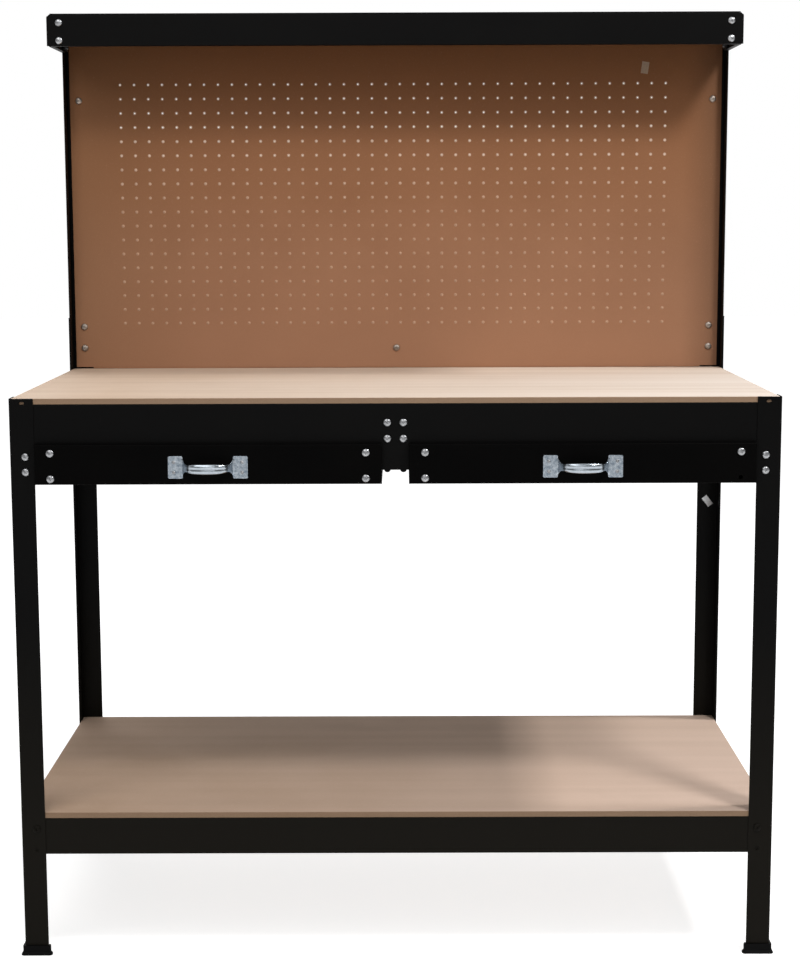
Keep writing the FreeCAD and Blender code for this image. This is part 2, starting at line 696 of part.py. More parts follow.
def pegboard():
    """The perforated board, made as one face with all of its holes."""
    front = PEG_BACK - PEG_THICKNESS
    half = PEG_WIDTH / 2.0
    corners = [(-half, PEG_BOTTOM), (half, PEG_BOTTOM), (half, PEG_TOP), (-half, PEG_TOP)]
    outline = Part.makePolygon([Vector(x, front, z) for x, z in corners + corners[:1]])
    centres = [(x, z, PEG_HOLE_R) for x, z in peg_hole_centres()]
    for seat, along, grip in peg_bolt_places():
        centres += [(seat[0], seat[2], BOLT_HOLE_R), (-seat[0], seat[2], BOLT_HOLE_R)]
    centres.append((0.0, WORKTOP_HEIGHT + CLIP_BOLT_RISE, BOLT_HOLE_R))
    wires = [outline]
    for x, z, radius in centres:
        wires.append(Part.Wire(Part.makeCircle(radius, Vector(x, front, z), Vector(0, 1, 0))))
    return Part.Face(wires, "Part::FaceMakerBullseye").extrude(Vector(0, PEG_THICKNESS, 0))


def pegboard_clip():
    """A joggled strip from the rear rail up to the bottom edge of the pegboard."""
    low = HANGER_BOLT_HEIGHTS[0] - HANGER_EDGE
    step = WORKTOP_HEIGHT + CLIP_STEP_RISE
    path = [(REAR_SKIN + LEG_STEEL, low), (REAR_SKIN + LEG_STEEL, step),
            (REAR_SKIN, step + CLIP_STEP_LENGTH), (REAR_SKIN, WORKTOP_HEIGHT + CLIP_TOP_RISE)]
    strip = folded(path[::-1], LEG_STEEL, "YZ", -CLIP_WIDTH / 2.0, CLIP_WIDTH / 2.0, CLIP_BEND)
    cutters = both_sides(holes_at(hanger_bolt_places())) + holes_at([clip_bolt_place()])
    return drilled(strip, cutters)


# The canopy

def canopy_front():
    """The canopy's front beam, its two upper corners cut off."""
    face = CANOPY_FRONT
    path = [(face + LIP, CANOPY_BOTTOM), (face, CANOPY_BOTTOM), (face, CANOPY_UNDER),
            (face + CANOPY_FLANGE, CANOPY_UNDER)]
    cut = CANOPY_CORNER + SHEET
    past_end = HALF + CUT_MARGIN
    past_top = CANOPY_UNDER + CUT_MARGIN
    past_flange = face + CANOPY_FLANGE + CANOPY_FLANGE_GAP
    beam = folded(path, SHEET, "YZ", -HALF, HALF)
    cutters = []
    for side in (-1, 1):
        corner = [Vector(side * past_end, face - CUT_MARGIN, past_top),
                  Vector(side * (HALF - cut), face - CUT_MARGIN, past_top),
                  Vector(side * past_end, face - CUT_MARGIN, CANOPY_UNDER - cut)]
        triangle = Part.Face(Part.makePolygon(corner + corner[:1]))
        cutters.append(triangle.extrude(Vector(0, past_flange - face + CUT_MARGIN, 0)))
        cutters.append(box(sorted((side * past_end, side * (HALF - CANOPY_END_NOTCH))),
                           (face + SHEET, past_flange),
                           (CANOPY_UNDER - SHEET - BEND, past_top)))
        cutters.append(box(sorted((side * past_end, side * (LEG_INNER - SHEET - CANOPY_FLANGE_GAP))),
                           (face + SHEET, past_flange),
                           (CANOPY_BOTTOM - CUT_MARGIN, CANOPY_BOTTOM + SHEET + BEND)))
    cutters += both_sides(holes_at(canopy_bolt_places()))
    return drilled(beam, cutters)


def canopy_side():
    """The right-hand side panel, from the front beam back over the upright."""
    outer = CANOPY_SIDE_OUTER
    first = CANOPY_FRONT + SHEET
    last = UPRIGHT_BACK
    clear = CANOPY_FRONT + CANOPY_FLANGE + CANOPY_FLANGE_GAP
    path = [(outer - CANOPY_FLANGE, CANOPY_UNDER), (outer, CANOPY_UNDER), (outer, CANOPY_BOTTOM),
            (outer - LIP, CANOPY_BOTTOM)]
    channel = folded(path, SHEET, "XZ", clear, UPRIGHT_BACK - UPRIGHT_FLANGE - CANOPY_FLANGE_GAP)
    low = CANOPY_BOTTOM + SHEET + 2.0 * BEND
    high = CANOPY_UNDER - SHEET - 2.0 * BEND
    web = box((outer - SHEET, outer), (first, last), (low, high))
    ear = box((outer - CANOPY_EAR, outer), (first, first + SHEET), (low, high - CANOPY_CORNER))
    return drilled(joined([channel, web, ear]), holes_at(canopy_bolt_places()))


def canopy_top():
    """The canopy's top sheet, with a flange down behind the uprights."""
    back = UPRIGHT_BACK
    path = [(CANOPY_FRONT + SHEET, TOTAL_HEIGHT), (back + SHEET, TOTAL_HEIGHT),
            (back + SHEET, TOTAL_HEIGHT - CANOPY_REAR_FLANGE)]
    half = LEG_INNER - CANOPY_TOP_INSET
    sheet = folded(path, SHEET, "YZ", -half, half)
    return drilled(sheet, both_sides(holes_at(canopy_bolt_places())))


# The drawers, made for the right-hand side

def drawer_tray():
    """A folded tray with lips turned in round its top and two welded stops."""
    x = (TRAY_INNER, TRAY_OUTER)
    y = (TRAY_FRONT, TRAY_FRONT + TRAY_DEPTH)
    z = (TRAY_BOTTOM, TRAY_TOP)
    skin = DRAWER_SHEET
    shell = box(x, y, z)
    upright = [edge for edge in shell.Edges if abs(edge.tangentAt(0).z) > 0.9]
    shell = shell.makeFillet(BEND + skin, upright)
    inside = box((x[0] + skin, x[1] - skin), (y[0] + skin, y[1] - skin), (z[0] + skin, z[1] - skin))
    mouth = box((x[0] + TRAY_LIP, x[1] - TRAY_LIP), (y[0] + LIP, y[1] - LIP),
                (z[1] - 2.0 * skin, z[1] + CUT_MARGIN))
    stops = []
    for edge, way in ((x[0] + TRAY_LIP, -1.0), (x[1] - TRAY_LIP, 1.0)):
        across = sorted((edge, edge + way * skin))
        stops.append(box(across, (STOP_FRONT, STOP_FRONT + STOP_WIDTH), (z[1], STOP_TOP)))
    cutters = [inside, mouth] + holes_at(front_bolt_places(False), 12.0)
    cutters += [hole(seat, (0, 1, 0), RIVET_SHANK_R, 12.0) for seat in rivet_seats()]
    floor, rest = parted(drilled(shell, cutters), "z", z[0] + skin)
    walls, lips = parted(rest, "z", z[1] - skin)
    left_wall, walls = parted(walls, "x", x[0] + skin)
    end_walls, right_wall = parted(walls, "x", x[1] - skin)
    left_lip, lips = parted(lips, "x", x[0] + TRAY_LIP)
    end_lips, right_lip = parted(lips, "x", x[1] - TRAY_LIP)
    return panels([floor, left_wall, end_walls, right_wall, left_lip, end_lips, right_lip] + stops)


def drawer_front():
    """The drawer's front panel: a shallow pan, open at the back."""
    half = FRONT_WIDTH / 2.0
    x = (DRAWER_X - half, DRAWER_X + half)
    y = (FRONT_FACE, FRONT_FACE + FRONT_DEPTH)
    z = (FRONT_TOP - FRONT_HEIGHT, FRONT_TOP)
    skin = DRAWER_SHEET
    pan = box(x, y, z)
    front_edges = [edge for edge in pan.Edges if edge.BoundBox.YMax < FRONT_FACE + 0.1]
    pan = pan.makeFillet(BEND + 0.5, front_edges)
    inside = box((x[0] + skin, x[1] - skin), (y[0] + skin, y[1] + CUT_MARGIN),
                 (z[0] + skin, z[1] - skin))
    cutters = [inside] + holes_at(front_bolt_places(False), 12.0)
    cutters += [hole(seat, (0, 1, 0), RIVET_SHANK_R, 12.0) for seat in rivet_seats()]
    return drilled(pan, cutters)


def rivet_seats():
    """Centres of the handle's four rivets on the drawer's face."""
    reach = HANDLE_LENGTH / 2.0 - RIVET_INSET
    return [(DRAWER_X + side * reach, FRONT_FACE, HANDLE_HEIGHT + rise)
            for side in (-1, 1) for rise in (-RIVET_SPREAD, RIVET_SPREAD)]


def grip_section(along, tall, deep):
    """One oval section of the grip; along runs from -1 to 1 between its roots."""
    rise = HANDLE_REACH - HANDLE_STEEL / 2.0 - GRIP_STATIONS[0][2] / 2.0
    bow = 1.0 - abs(along) ** 3.0
    slope = 3.0 * along * abs(along) * rise / GRIP_ROOT
    depth = FRONT_FACE - HANDLE_STEEL / 2.0 - rise * bow
    centre = Vector(DRAWER_X + along * GRIP_ROOT, depth, HANDLE_HEIGHT)
    tangent = Vector(1.0, slope, 0.0).normalize()
    wire = Part.Wire(Part.Ellipse(Vector(0, 0, 0), tall / 2.0, deep / 2.0).toShape())
    upward = Vector(0, 0, 1)
    turn = FreeCAD.Rotation(upward, tangent.cross(upward), tangent, "ZXY")
    wire.Placement = FreeCAD.Placement(centre, turn)
    return wire


def drawer_handle():
    """A pressed handle: two flat plates and a bowed grip that swells in the middle."""
    left = [grip_section(-along, tall, deep) for along, tall, deep in GRIP_STATIONS[:0:-1]]
    right = [grip_section(along, tall, deep) for along, tall, deep in GRIP_STATIONS]
    grip = Part.makeLoft(left + right, True, False)
    pieces = [grip]
    reach = (HANDLE_LENGTH - HANDLE_PLATE[0]) / 2.0
    for side in (-1, 1):
        centre = DRAWER_X + side * reach
        plate = box((centre - HANDLE_PLATE[0] / 2.0, centre + HANDLE_PLATE[0] / 2.0),
                    (FRONT_FACE - HANDLE_STEEL, FRONT_FACE),
                    (HANDLE_HEIGHT - HANDLE_PLATE[1] / 2.0, HANDLE_HEIGHT + HANDLE_PLATE[1] / 2.0))
        corners = [edge for edge in plate.Edges if abs(edge.tangentAt(0).y) > 0.9]
        pieces.append(plate.makeFillet(HANDLE_CORNER, corners))
    handle = joined(pieces)
    behind = box((DRAWER_X - HANDLE_LENGTH, DRAWER_X + HANDLE_LENGTH),
                 (FRONT_FACE, FRONT_FACE + HANDLE_REACH),
                 (HANDLE_HEIGHT - HANDLE_PLATE[1], HANDLE_HEIGHT + HANDLE_PLATE[1]))
    cutters = [behind] + [hole(seat, (0, 1, 0), RIVET_SHANK_R, 12.0) for seat in rivet_seats()]
    return drilled(handle, cutters)


def handle_rivets():
    """Domed rivets through the handle's plates, the panel and the tray's front."""
    rivets = []
    for x, y, z in rivet_seats():
        front = y - HANDLE_STEEL
        back = y + 2.0 * DRAWER_SHEET
        shank = rod(RIVET_SHANK_R, (x, front, z), (0, 1, 0), back - front)
        head = Part.makeCone(RIVET_HEAD_R, RIVET_HEAD_R * 0.5, RIVET_HEAD_H, Vector(x, front, z),
                             Vector(0, -1, 0))
        tail = rod(RIVET_HEAD_R * 0.8, (x, back, z), (0, 1, 0), RIVET_HEAD_H * 0.6)
        rivets.append(joined([head, shank, tail]))
    return rivets


def make_frame():
    """Legs, shoes, rails, runners, beams and their fasteners."""
    front_shoe = shoe()
    corners = {"front_{}_leg": leg(False), "rear_{}_leg": leg(True),
               "front_{}_shoe": front_shoe, "rear_{}_shoe": to_rear(front_shoe)}
    for name, shape in corners.items():
        save(name.format("right"), shape)
        save(name.format("left"), mirrored(shape))
    save("front_rail", front_rail())
    rear_cutters = both_sides(holes_at(rail_bolt_places() + hanger_bolt_places()))
    rear_rail = channel_rail(RAIL_BOTTOM, RAIL_TOP, "rear")
    save("rear_rail", drilled(rear_rail, rear_cutters + screw_holes("rear", RAIL_TOP)))
    rail = drilled(side_rail(RAIL_BOTTOM, RAIL_TOP), holes_at(rail_bolt_places())
                   + screw_holes("right", RAIL_TOP))
    save("right_side_rail", rail)
    save("left_side_rail", mirrored(rail))
    for name in ("front", "rear"):
        beam = channel_rail(BEAM_BOTTOM, BEAM_TOP, name)
        cutters = both_sides(holes_at(shelf_bolt_places())) + screw_holes(name, BEAM_TOP)
        save("shelf_" + name + "_beam", drilled(beam, cutters))
    beam = drilled(side_rail(BEAM_BOTTOM, BEAM_TOP), holes_at(shelf_bolt_places())
                   + screw_holes("right", BEAM_TOP))
    save("shelf_right_beam", beam)
    save("shelf_left_beam", mirrored(beam))
    runner = outer_runner()
    save("right_outer_runner", runner)
    save("left_outer_runner", mirrored(runner))
    save("centre_hanger", centre_hanger())
    save("worktop", board(WORKTOP_HEIGHT))
    save("lower_shelf", board(SHELF_HEIGHT))
    save("worktop_screws", Part.makeCompound(wood_screws(RAIL_TOP)))
    save("shelf_screws", Part.makeCompound(wood_screws(BEAM_TOP)))


def make_back():
    """Uprights, pegboard, clip and canopy."""
    right = upright()
    save("right_upright", right)
    save("left_upright", mirrored(right))
    save("pegboard", pegboard())
    save("pegboard_clip", pegboard_clip())
    save("canopy_front_beam", canopy_front())
    side = canopy_side()
    save("canopy_right_panel", side)
    save("canopy_left_panel", mirrored(side))
    save("canopy_top_panel", canopy_top())


def make_fasteners():
    """Bolts and nuts, one node for each kind of joint."""
    groups = {"rail": rail_bolt_places(), "shelf": shelf_bolt_places(),
              "hanger": hanger_bolt_places(), "canopy": canopy_bolt_places()}
    for name, places in groups.items():
        bolts, nuts = fastener_sets(places)
        save(name + "_bolts", Part.makeCompound(bolts))
        save(name + "_nuts", Part.makeCompound(nuts))
    bolts, nuts = fastener_sets(peg_bolt_places())
    middle = bolted(*clip_bolt_place())
    save("pegboard_bolts", Part.makeCompound(bolts + [middle[0]]))
    save("pegboard_nuts", Part.makeCompound(nuts + [middle[1]]))


def make_drawers():
    """Both drawers. The lower outer bolt of the right-hand front isn't there."""
    pieces = {"tray": drawer_tray(), "front": drawer_front(), "handle": drawer_handle(),
              "rivets": Part.makeCompound(handle_rivets())}
    for side in ("left", "right"):
        for name, shape in pieces.items():
            save(side + "_drawer_" + name, mirrored(shape) if side == "left" else shape)
        pairs = [bolted(*place) for place in front_bolt_places(side == "right")]
        for name, index in (("bolts", 0), ("nuts", 1)):
            group = Part.makeCompound([pair[index] for pair in pairs])
            save(side + "_drawer_" + name, mirrored(group) if side == "left" else group)


os.makedirs("parts", exist_ok=True)
make_frame()
make_back()
make_fasteners()
make_drawers()
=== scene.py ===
import json
import math

import bmesh
import bpy
from mathutils import Matrix, Vector


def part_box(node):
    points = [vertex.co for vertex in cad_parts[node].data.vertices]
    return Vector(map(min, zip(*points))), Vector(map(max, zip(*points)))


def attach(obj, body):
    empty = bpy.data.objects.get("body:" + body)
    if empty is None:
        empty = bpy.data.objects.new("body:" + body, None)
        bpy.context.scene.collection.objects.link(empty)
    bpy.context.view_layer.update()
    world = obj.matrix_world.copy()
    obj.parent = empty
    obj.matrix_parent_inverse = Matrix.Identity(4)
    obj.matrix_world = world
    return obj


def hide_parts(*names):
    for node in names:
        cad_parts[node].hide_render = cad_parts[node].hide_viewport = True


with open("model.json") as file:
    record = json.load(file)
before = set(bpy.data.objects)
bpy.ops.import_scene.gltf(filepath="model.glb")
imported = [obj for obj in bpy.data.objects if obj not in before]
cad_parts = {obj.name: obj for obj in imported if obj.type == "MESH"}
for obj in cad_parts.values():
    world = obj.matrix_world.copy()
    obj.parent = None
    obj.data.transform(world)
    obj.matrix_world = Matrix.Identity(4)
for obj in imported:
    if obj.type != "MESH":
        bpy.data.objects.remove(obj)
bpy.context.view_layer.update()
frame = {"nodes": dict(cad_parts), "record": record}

# Sizes are in metres, in the bench's own frame: X runs along the bench, Y from its
# front to its back, and Z up from the floor.

WORKTOP_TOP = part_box("worktop")[1].z
TO_THE_FRONT = Vector((0.0, -1.0, 0.0))
# The handles' grips are worn smooth from this far out of the drawers' fronts.
WORN_FROM = 0.00325
WORN_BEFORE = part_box("left_drawer_handle")[1].y - WORN_FROM

# The pegboard and its grid of holes
PEG_LOW, PEG_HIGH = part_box("pegboard")
PEG_PITCH = 0.0254
PEG_COLUMNS = 40
PEG_ROWS = 18
PEG_SHIFT = -0.005
PEG_LOWEST_ROW = PEG_LOW.z + 0.0805
PEG_HOLE_R = 0.0022


# Shader nodes

class Wire:
    """A shader socket that can be used in sums with numbers and other wires."""

    def __init__(self, nodes, socket):
        self.nodes = nodes
        self.socket = socket

    def other(self, output):
        """Another output of the node that this wire comes from."""
        return Wire(self.nodes, self.socket.node.outputs[output])

    def __add__(self, other):
        return self.nodes.math("ADD", self, other)

    def __radd__(self, other):
        return self.nodes.math("ADD", other, self)

    def __sub__(self, other):
        return self.nodes.math("SUBTRACT", self, other)

    def __rsub__(self, other):
        return self.nodes.math("SUBTRACT", other, self)

    def __mul__(self, other):
        return self.nodes.math("MULTIPLY", self, other)

    def __rmul__(self, other):
        return self.nodes.math("MULTIPLY", other, self)

    def __truediv__(self, other):
        return self.nodes.math("DIVIDE", self, other)

    def __pow__(self, other):
        return self.nodes.math("POWER", self, other)


class Nodes:
    """The shader nodes of a material or of the world, and the ways to add to them."""

    def __init__(self, owner, shader):
        owner.use_nodes = True
        self.tree = owner.node_tree
        self.shader = self.tree.nodes[shader]

    def node(self, kind, settings=None, inputs=None, output=0):
        """Adds one node: its settings first, then its sockets' values or links."""
        made = self.tree.nodes.new("ShaderNode" + kind)
        for key, value in (settings or {}).items():
            setattr(made, key, value)
        for key, value in (inputs or {}).items():
            self.feed(made.inputs[key], value)
        return Wire(self, made.outputs[output])

    def feed(self, socket, value):
        """Links a wire to a socket, or sets the socket's own value."""
        if isinstance(value, Wire):
            self.tree.links.new(value.socket, socket)
        elif isinstance(value, tuple) and len(value) == 3 and socket.type == "RGBA":
            socket.default_value = (*value, 1.0)
        else:
            socket.default_value = value

    def set(self, **values):
        """Feeds the closing shader's sockets, named with underscores."""
        for key, value in values.items():
            self.feed(self.shader.inputs[key.replace("_", " ")], value)

    def math(self, operation, *values):
        """One step of arithmetic on wires and numbers."""
        return self.node("Math", {"operation": operation}, dict(enumerate(values)))

    def place(self):
        """Object coordinates, in metres."""
        return self.node("TexCoord", output="Object")

    def parts(self, vector):
        """The three numbers of a vector."""
        first = self.node("SeparateXYZ", None, {0: vector})
        return [first, first.other("Y"), first.other("Z")]

    def stretched(self, vector, scale):
        """A vector with each of its numbers scaled."""
        return self.node("VectorMath", {"operation": "MULTIPLY"}, {0: vector, 1: scale})

    def noise(self, vector, scale, detail=3.0, roughness=0.5):
        """Fractal noise from 0 to 1; scale is in bumps per metre."""
        return self.node("TexNoise", None, {"Vector": vector, "Scale": scale, "Detail": detail,
                                            "Roughness": roughness})

    def spread(self, value, low, high, to_low=0.0, to_high=1.0):
        """Maps one range of a number to another, and stops at the ends."""
        return self.node("MapRange", {"clamp": True}, {0: value, 1: low, 2: high, 3: to_low, 4: to_high})

    def blend(self, factor, first, second):
        """Mixes two colours; the colour sockets of a Mix node are its inputs 6 and 7."""
        return self.node("Mix", {"data_type": "RGBA"}, {0: factor, 6: first, 7: second}, 2)

    def tint(self, colour, tone, share, value, low, high):
        """Brings in a share of a tone as a value runs from low to high."""
        return self.blend(self.spread(value, low, high, 0.0, share), colour, tone)

    def bump(self, height, strength, distance):
        """A normal from a height; distance is in metres."""
        return self.node("Bump", None, {"Height": height, "Strength": strength, "Distance": distance})


class Finish(Nodes):
    """A material with a Principled shader."""

    def __init__(self, name):
        self.material = bpy.data.materials.new(name)
        super().__init__(self.material, "Principled BSDF")


def powder_coat(name, gloss):
    """Black powder coat: a fine orange peel, dust that settles low down, a few pale rubs."""
    finish = Finish(name)
    clean = (0.0016, 0.0015, 0.0015)
    dusty = (0.0036, 0.0032, 0.0028)
    floor_dust = (0.0095, 0.0080, 0.0056)
    rubbed = (0.024, 0.023, 0.022)
    place = finish.place()
    height = finish.parts(place)[2]
    peel = finish.noise(place, 620.0, 2.0)
    cloud = finish.noise(place, 7.0, 4.0)
    scuff = finish.noise(finish.stretched(place, (30.0, 30.0, 4.0)), 6.0, 6.0, 0.7)
    rub = finish.spread(scuff, 0.69, 0.76)
    colour = finish.tint(clean, dusty, 0.35, cloud, 0.45, 0.75)
    colour = finish.tint(colour, floor_dust, 0.8, height, 0.55, 0.20)
    colour = finish.blend(rub * 0.3, colour, rubbed)
    finish.set(Base_Color=colour, Roughness=0.40 + 0.16 * cloud + 0.06 * rub,
               Specular_IOR_Level=gloss, Normal=finish.bump(peel, 0.16, 0.0003))
    return finish.material


def fibreboard(name, low, high, painted_sheen, dark, far, streak):
    """Bare pale fibreboard: felted fibres on the faces, coarser on the cut edges."""
    finish = Finish(name)
    pale_speck = (0.86, 0.77, 0.68)
    cut_edge = (0.34, 0.225, 0.145)
    cut_fibre = (0.19, 0.115, 0.068)
    place = finish.place()
    across, depth = finish.parts(place)[:2]
    up = finish.parts(finish.node("NewGeometry", output="Normal"))[2]
    face = finish.spread(finish.math("ABSOLUTE", up), 0.6, 0.9)
    fibre = finish.noise(finish.stretched(place, (1.0, 2.4, 2.0)), 900.0, 3.0, 0.65)
    speck = finish.noise(place, 320.0, 4.0, 0.6)
    cloud = finish.noise(place, 5.0, 5.0, 0.6)
    stain = finish.noise(finish.stretched(place, (1.0, 1.6, 1.0)), 2.3, 5.0, 0.62)
    band = finish.noise(finish.stretched(place, (0.10, 2.4, 1.0)), 8.0, 2.5, 0.5)
    colour = finish.tint(low, high, 1.0, cloud, 0.3, 0.7)
    # Painted sheen: the board turns paler towards its right end.
    colour = finish.tint(colour, painted_sheen, 1.0, across + 0.35 * stain, -0.30, 0.85)
    # Towards the back, painted shade darkens the worktop under the canopy, and painted light brightens the
    # shelf.
    colour = finish.tint(colour, far, 0.42, depth, -0.05, 0.31)
    colour = finish.tint(colour, dark, streak, band, 0.42, 0.68)
    colour = finish.tint(colour, dark, 0.35, fibre, 0.52, 0.8)
    colour = finish.tint(colour, pale_speck, 0.22, speck, 0.6, 0.78)
    colour = finish.tint(colour, dark, 0.25, stain, 0.6, 0.8)
    edge = finish.tint(cut_edge, cut_fibre, 0.5, fibre, 0.4, 0.7)
    finish.set(Base_Color=finish.blend(face, edge, colour), Roughness=0.70 + 0.16 * (1 - cloud),
               Specular_IOR_Level=0.16, Normal=finish.bump(fibre * 0.6 + speck * 0.4, 0.35, 0.0003))
    return finish.material


def round_the_holes(finish, across, height):
    """A mask that is 1 at the rims of the peg holes and fades out round them."""
    half_wide = PEG_PITCH * PEG_COLUMNS / 2.0
    half_tall = PEG_PITCH * PEG_ROWS / 2.0
    middle = PEG_LOWEST_ROW - PEG_PITCH / 2.0 + half_tall
    along = across - PEG_SHIFT
    above = height - middle
    cell_x = finish.math("FRACT", (along + half_wide) / PEG_PITCH) - 0.5
    cell_z = finish.math("FRACT", (above + half_tall) / PEG_PITCH) - 0.5
    away = (cell_x * cell_x + cell_z * cell_z) ** 0.5 * PEG_PITCH
    rim = finish.spread(away, PEG_HOLE_R * 1.02, PEG_HOLE_R * 1.7, 1.0, 0.0)
    for number, half in ((along, half_wide), (above, half_tall)):
        rim = rim * finish.spread(finish.math("ABSOLUTE", number), half, half + 0.001, 1.0, 0.0)
    return rim


def hardboard():
    """Brown hardboard: smooth in front, a woven print behind, fuzzy holes, and painted light and shade."""
    finish = Finish("brown hardboard")
    weave_radians_per_metre = 3900.0
    light_brown = (0.340, 0.162, 0.083)
    dark_brown = (0.285, 0.130, 0.063)
    painted_canopy_shadow = (0.270, 0.108, 0.040)
    painted_lower_light = (0.40, 0.205, 0.120)
    painted_left_shade = (0.195, 0.090, 0.036)
    painted_right_edge_shadow = (0.130, 0.062, 0.030)
    dark_fibre = (0.155, 0.066, 0.032)
    pale_speck = (0.42, 0.235, 0.14)
    hole_rim = (0.40, 0.245, 0.145)
    place = finish.place()
    across, depth, height = finish.parts(place)
    back = finish.math("GREATER_THAN", depth, (PEG_LOW.y + PEG_HIGH.y) / 2.0)
    fibre = finish.noise(finish.stretched(place, (1.0, 1.0, 1.7)), 700.0, 4.0, 0.7)
    speck = finish.noise(place, 260.0, 4.0, 0.6)
    cloud = finish.noise(place, 4.0, 5.0, 0.6)
    colour = finish.tint(dark_brown, light_brown, 1.0, cloud, 0.3, 0.72)
    # Painted shadow of the canopy darkens the board's top.
    colour = finish.tint(colour, painted_canopy_shadow, 1.0, height, 1.10, 1.44)
    # Painted light, as from the worktop below, brightens the board lower down.
    colour = finish.tint(colour, painted_lower_light, 0.5, height, 1.22, 0.95)
    # Painted shade darkens the board's left end.
    colour = finish.tint(colour, painted_left_shade, 0.4, across, -0.35, -0.57)
    # Painted shadow of the right upright's flange darkens the board's right edge.
    colour = finish.tint(colour, painted_right_edge_shadow, 0.5, across, 0.525, 0.580)
    colour = finish.tint(colour, dark_fibre, 0.4, fibre, 0.5, 0.8)
    colour = finish.tint(colour, pale_speck, 0.3, speck, 0.58, 0.8)
    colour = finish.blend(round_the_holes(finish, across, height) * 0.45, colour, hole_rim)
    warp = finish.math("SINE", across * weave_radians_per_metre)
    weft = finish.math("SINE", height * weave_radians_per_metre)
    relief = warp * weft * 0.5 * back + fibre * 0.5
    finish.set(Base_Color=colour, Roughness=0.52 + 0.22 * fibre + 0.15 * back, Specular_IOR_Level=0.25,
               Normal=finish.bump(relief, 0.3, 0.0003))
    return finish.material


def plated(name, colour, roughness, tone, polished_before=-1.0):
    """Plated steel with a mottle, worn smooth before a depth, and fine rubbing marks."""
    finish = Finish(name)
    place = finish.place()
    depth = finish.parts(place)[1]
    mottle = finish.noise(place, 180.0, 4.0, 0.6)
    rub = finish.noise(finish.stretched(place, (1.0, 1.0, 9.0)), 700.0, 3.0, 0.6)
    unworn = finish.spread(depth, polished_before - 0.004, polished_before, 0.3, 1.0)
    shade = finish.blend(finish.spread(mottle, 0.35, 0.7) * unworn, colour, tone)
    finish.set(Base_Color=shade, Metallic=1.0, Roughness=roughness + 0.14 * mottle,
               Normal=finish.bump(rub, 0.06, 0.0002))
    return finish.material


def moulded_plastic():
    """Black moulded plastic with a fine spark-eroded grain."""
    finish = Finish("moulded black plastic")
    place = finish.place()
    grain = finish.noise(place, 1400.0, 2.0, 0.5)
    cloud = finish.noise(place, 25.0, 3.0)
    colour = finish.blend(cloud, (0.0012, 0.0012, 0.0013), (0.0026, 0.0026, 0.0027))
    finish.set(Base_Color=colour, Roughness=0.55 + 0.12 * cloud, Specular_IOR_Level=0.07,
               Normal=finish.bump(grain, 0.2, 0.0002))
    return finish.material


def torn_fibre():
    """The fuzz that a punch leaves round the mouth of a peg hole, with painted light that makes it paler
    higher up.
    """
    finish = Finish("torn hardboard fibre")
    place = finish.place()
    height = finish.parts(place)[2]
    fuzz = finish.noise(place, 1500.0, 3.0, 0.7)
    cloud = finish.noise(place, 60.0, 3.0, 0.6)
    lower_fibre = finish.tint((0.44, 0.26, 0.165), (0.54, 0.345, 0.235), 1.0, fuzz, 0.35, 0.7)
    painted_light_fibre = finish.tint((0.66, 0.48, 0.36), (0.78, 0.60, 0.48), 1.0, fuzz, 0.35, 0.7)
    # Painted light makes the fibre paler higher up, where the canopy shades the board.
    colour = finish.tint(lower_fibre, painted_light_fibre, 1.0, height, 1.20, 1.34)
    colour = finish.tint(colour, (0.33, 0.175, 0.10), 0.3, cloud, 0.4, 0.7)
    finish.set(Base_Color=colour, Roughness=0.85 + 0.1 * fuzz, Specular_IOR_Level=0.15,
               Normal=finish.bump(fuzz, 0.4, 0.0002))
    return finish.material


def blank_label(name, colour, roughness):
    """A blank paper or foil label, a little creased."""
    finish = Finish(name)
    crease = finish.noise(finish.place(), 260.0, 3.0, 0.6)
    shade = finish.tint(colour, tuple(value * 0.86 for value in colour), 1.0, crease, 0.4, 0.7)
    finish.set(Base_Color=shade, Roughness=roughness + 0.2 * crease,
               Normal=finish.bump(crease, 0.25, 0.0004))
    return finish.material


PAINT = powder_coat("black powder coat", 0.06)
DRAWER_PAINT = powder_coat("black drawer powder coat", 0.02)
WORKTOP_BOARD = fibreboard("pale fibreboard", low=(0.65, 0.495, 0.375), high=(0.71, 0.56, 0.44),
                           painted_sheen=(0.74, 0.66, 0.59), dark=(0.48, 0.34, 0.24),
                           far=(0.53, 0.385, 0.27), streak=0.30)
# The shelf's board is a darker, browner copy of the worktop's: painted shade for the worktop's shadow over
# it.
SHADED_SHELF_BOARD = fibreboard("shelf fibreboard with painted shade", low=(0.52, 0.355, 0.245), high=(0.59, 0.415, 0.30),
                         painted_sheen=(0.66, 0.50, 0.41), dark=(0.38, 0.25, 0.165),
                         far=(0.80, 0.60, 0.47), streak=0.16)
PEG = hardboard()
FIBRE = torn_fibre()
ZINC = plated("bright zinc", (0.37, 0.375, 0.385), 0.27, (0.25, 0.255, 0.265))
# The pegboard bolts' warm tan tint is a painted reflection of the brown board round them.
ZINC_WITH_PAINTED_REFLECTION = plated("dull zinc with painted warm reflection", (0.40, 0.345, 0.30), 0.40, (0.27, 0.225, 0.19))
CHROME = plated("bright plate", (0.40, 0.44, 0.48), 0.17, (0.15, 0.19, 0.235), WORN_BEFORE)
PLASTIC = moulded_plastic()
PALE_LABEL = blank_label("blank pale label", (0.44, 0.31, 0.21), 0.5)
FOIL_LABEL = blank_label("blank foil label", (0.72, 0.74, 0.76), 0.28)

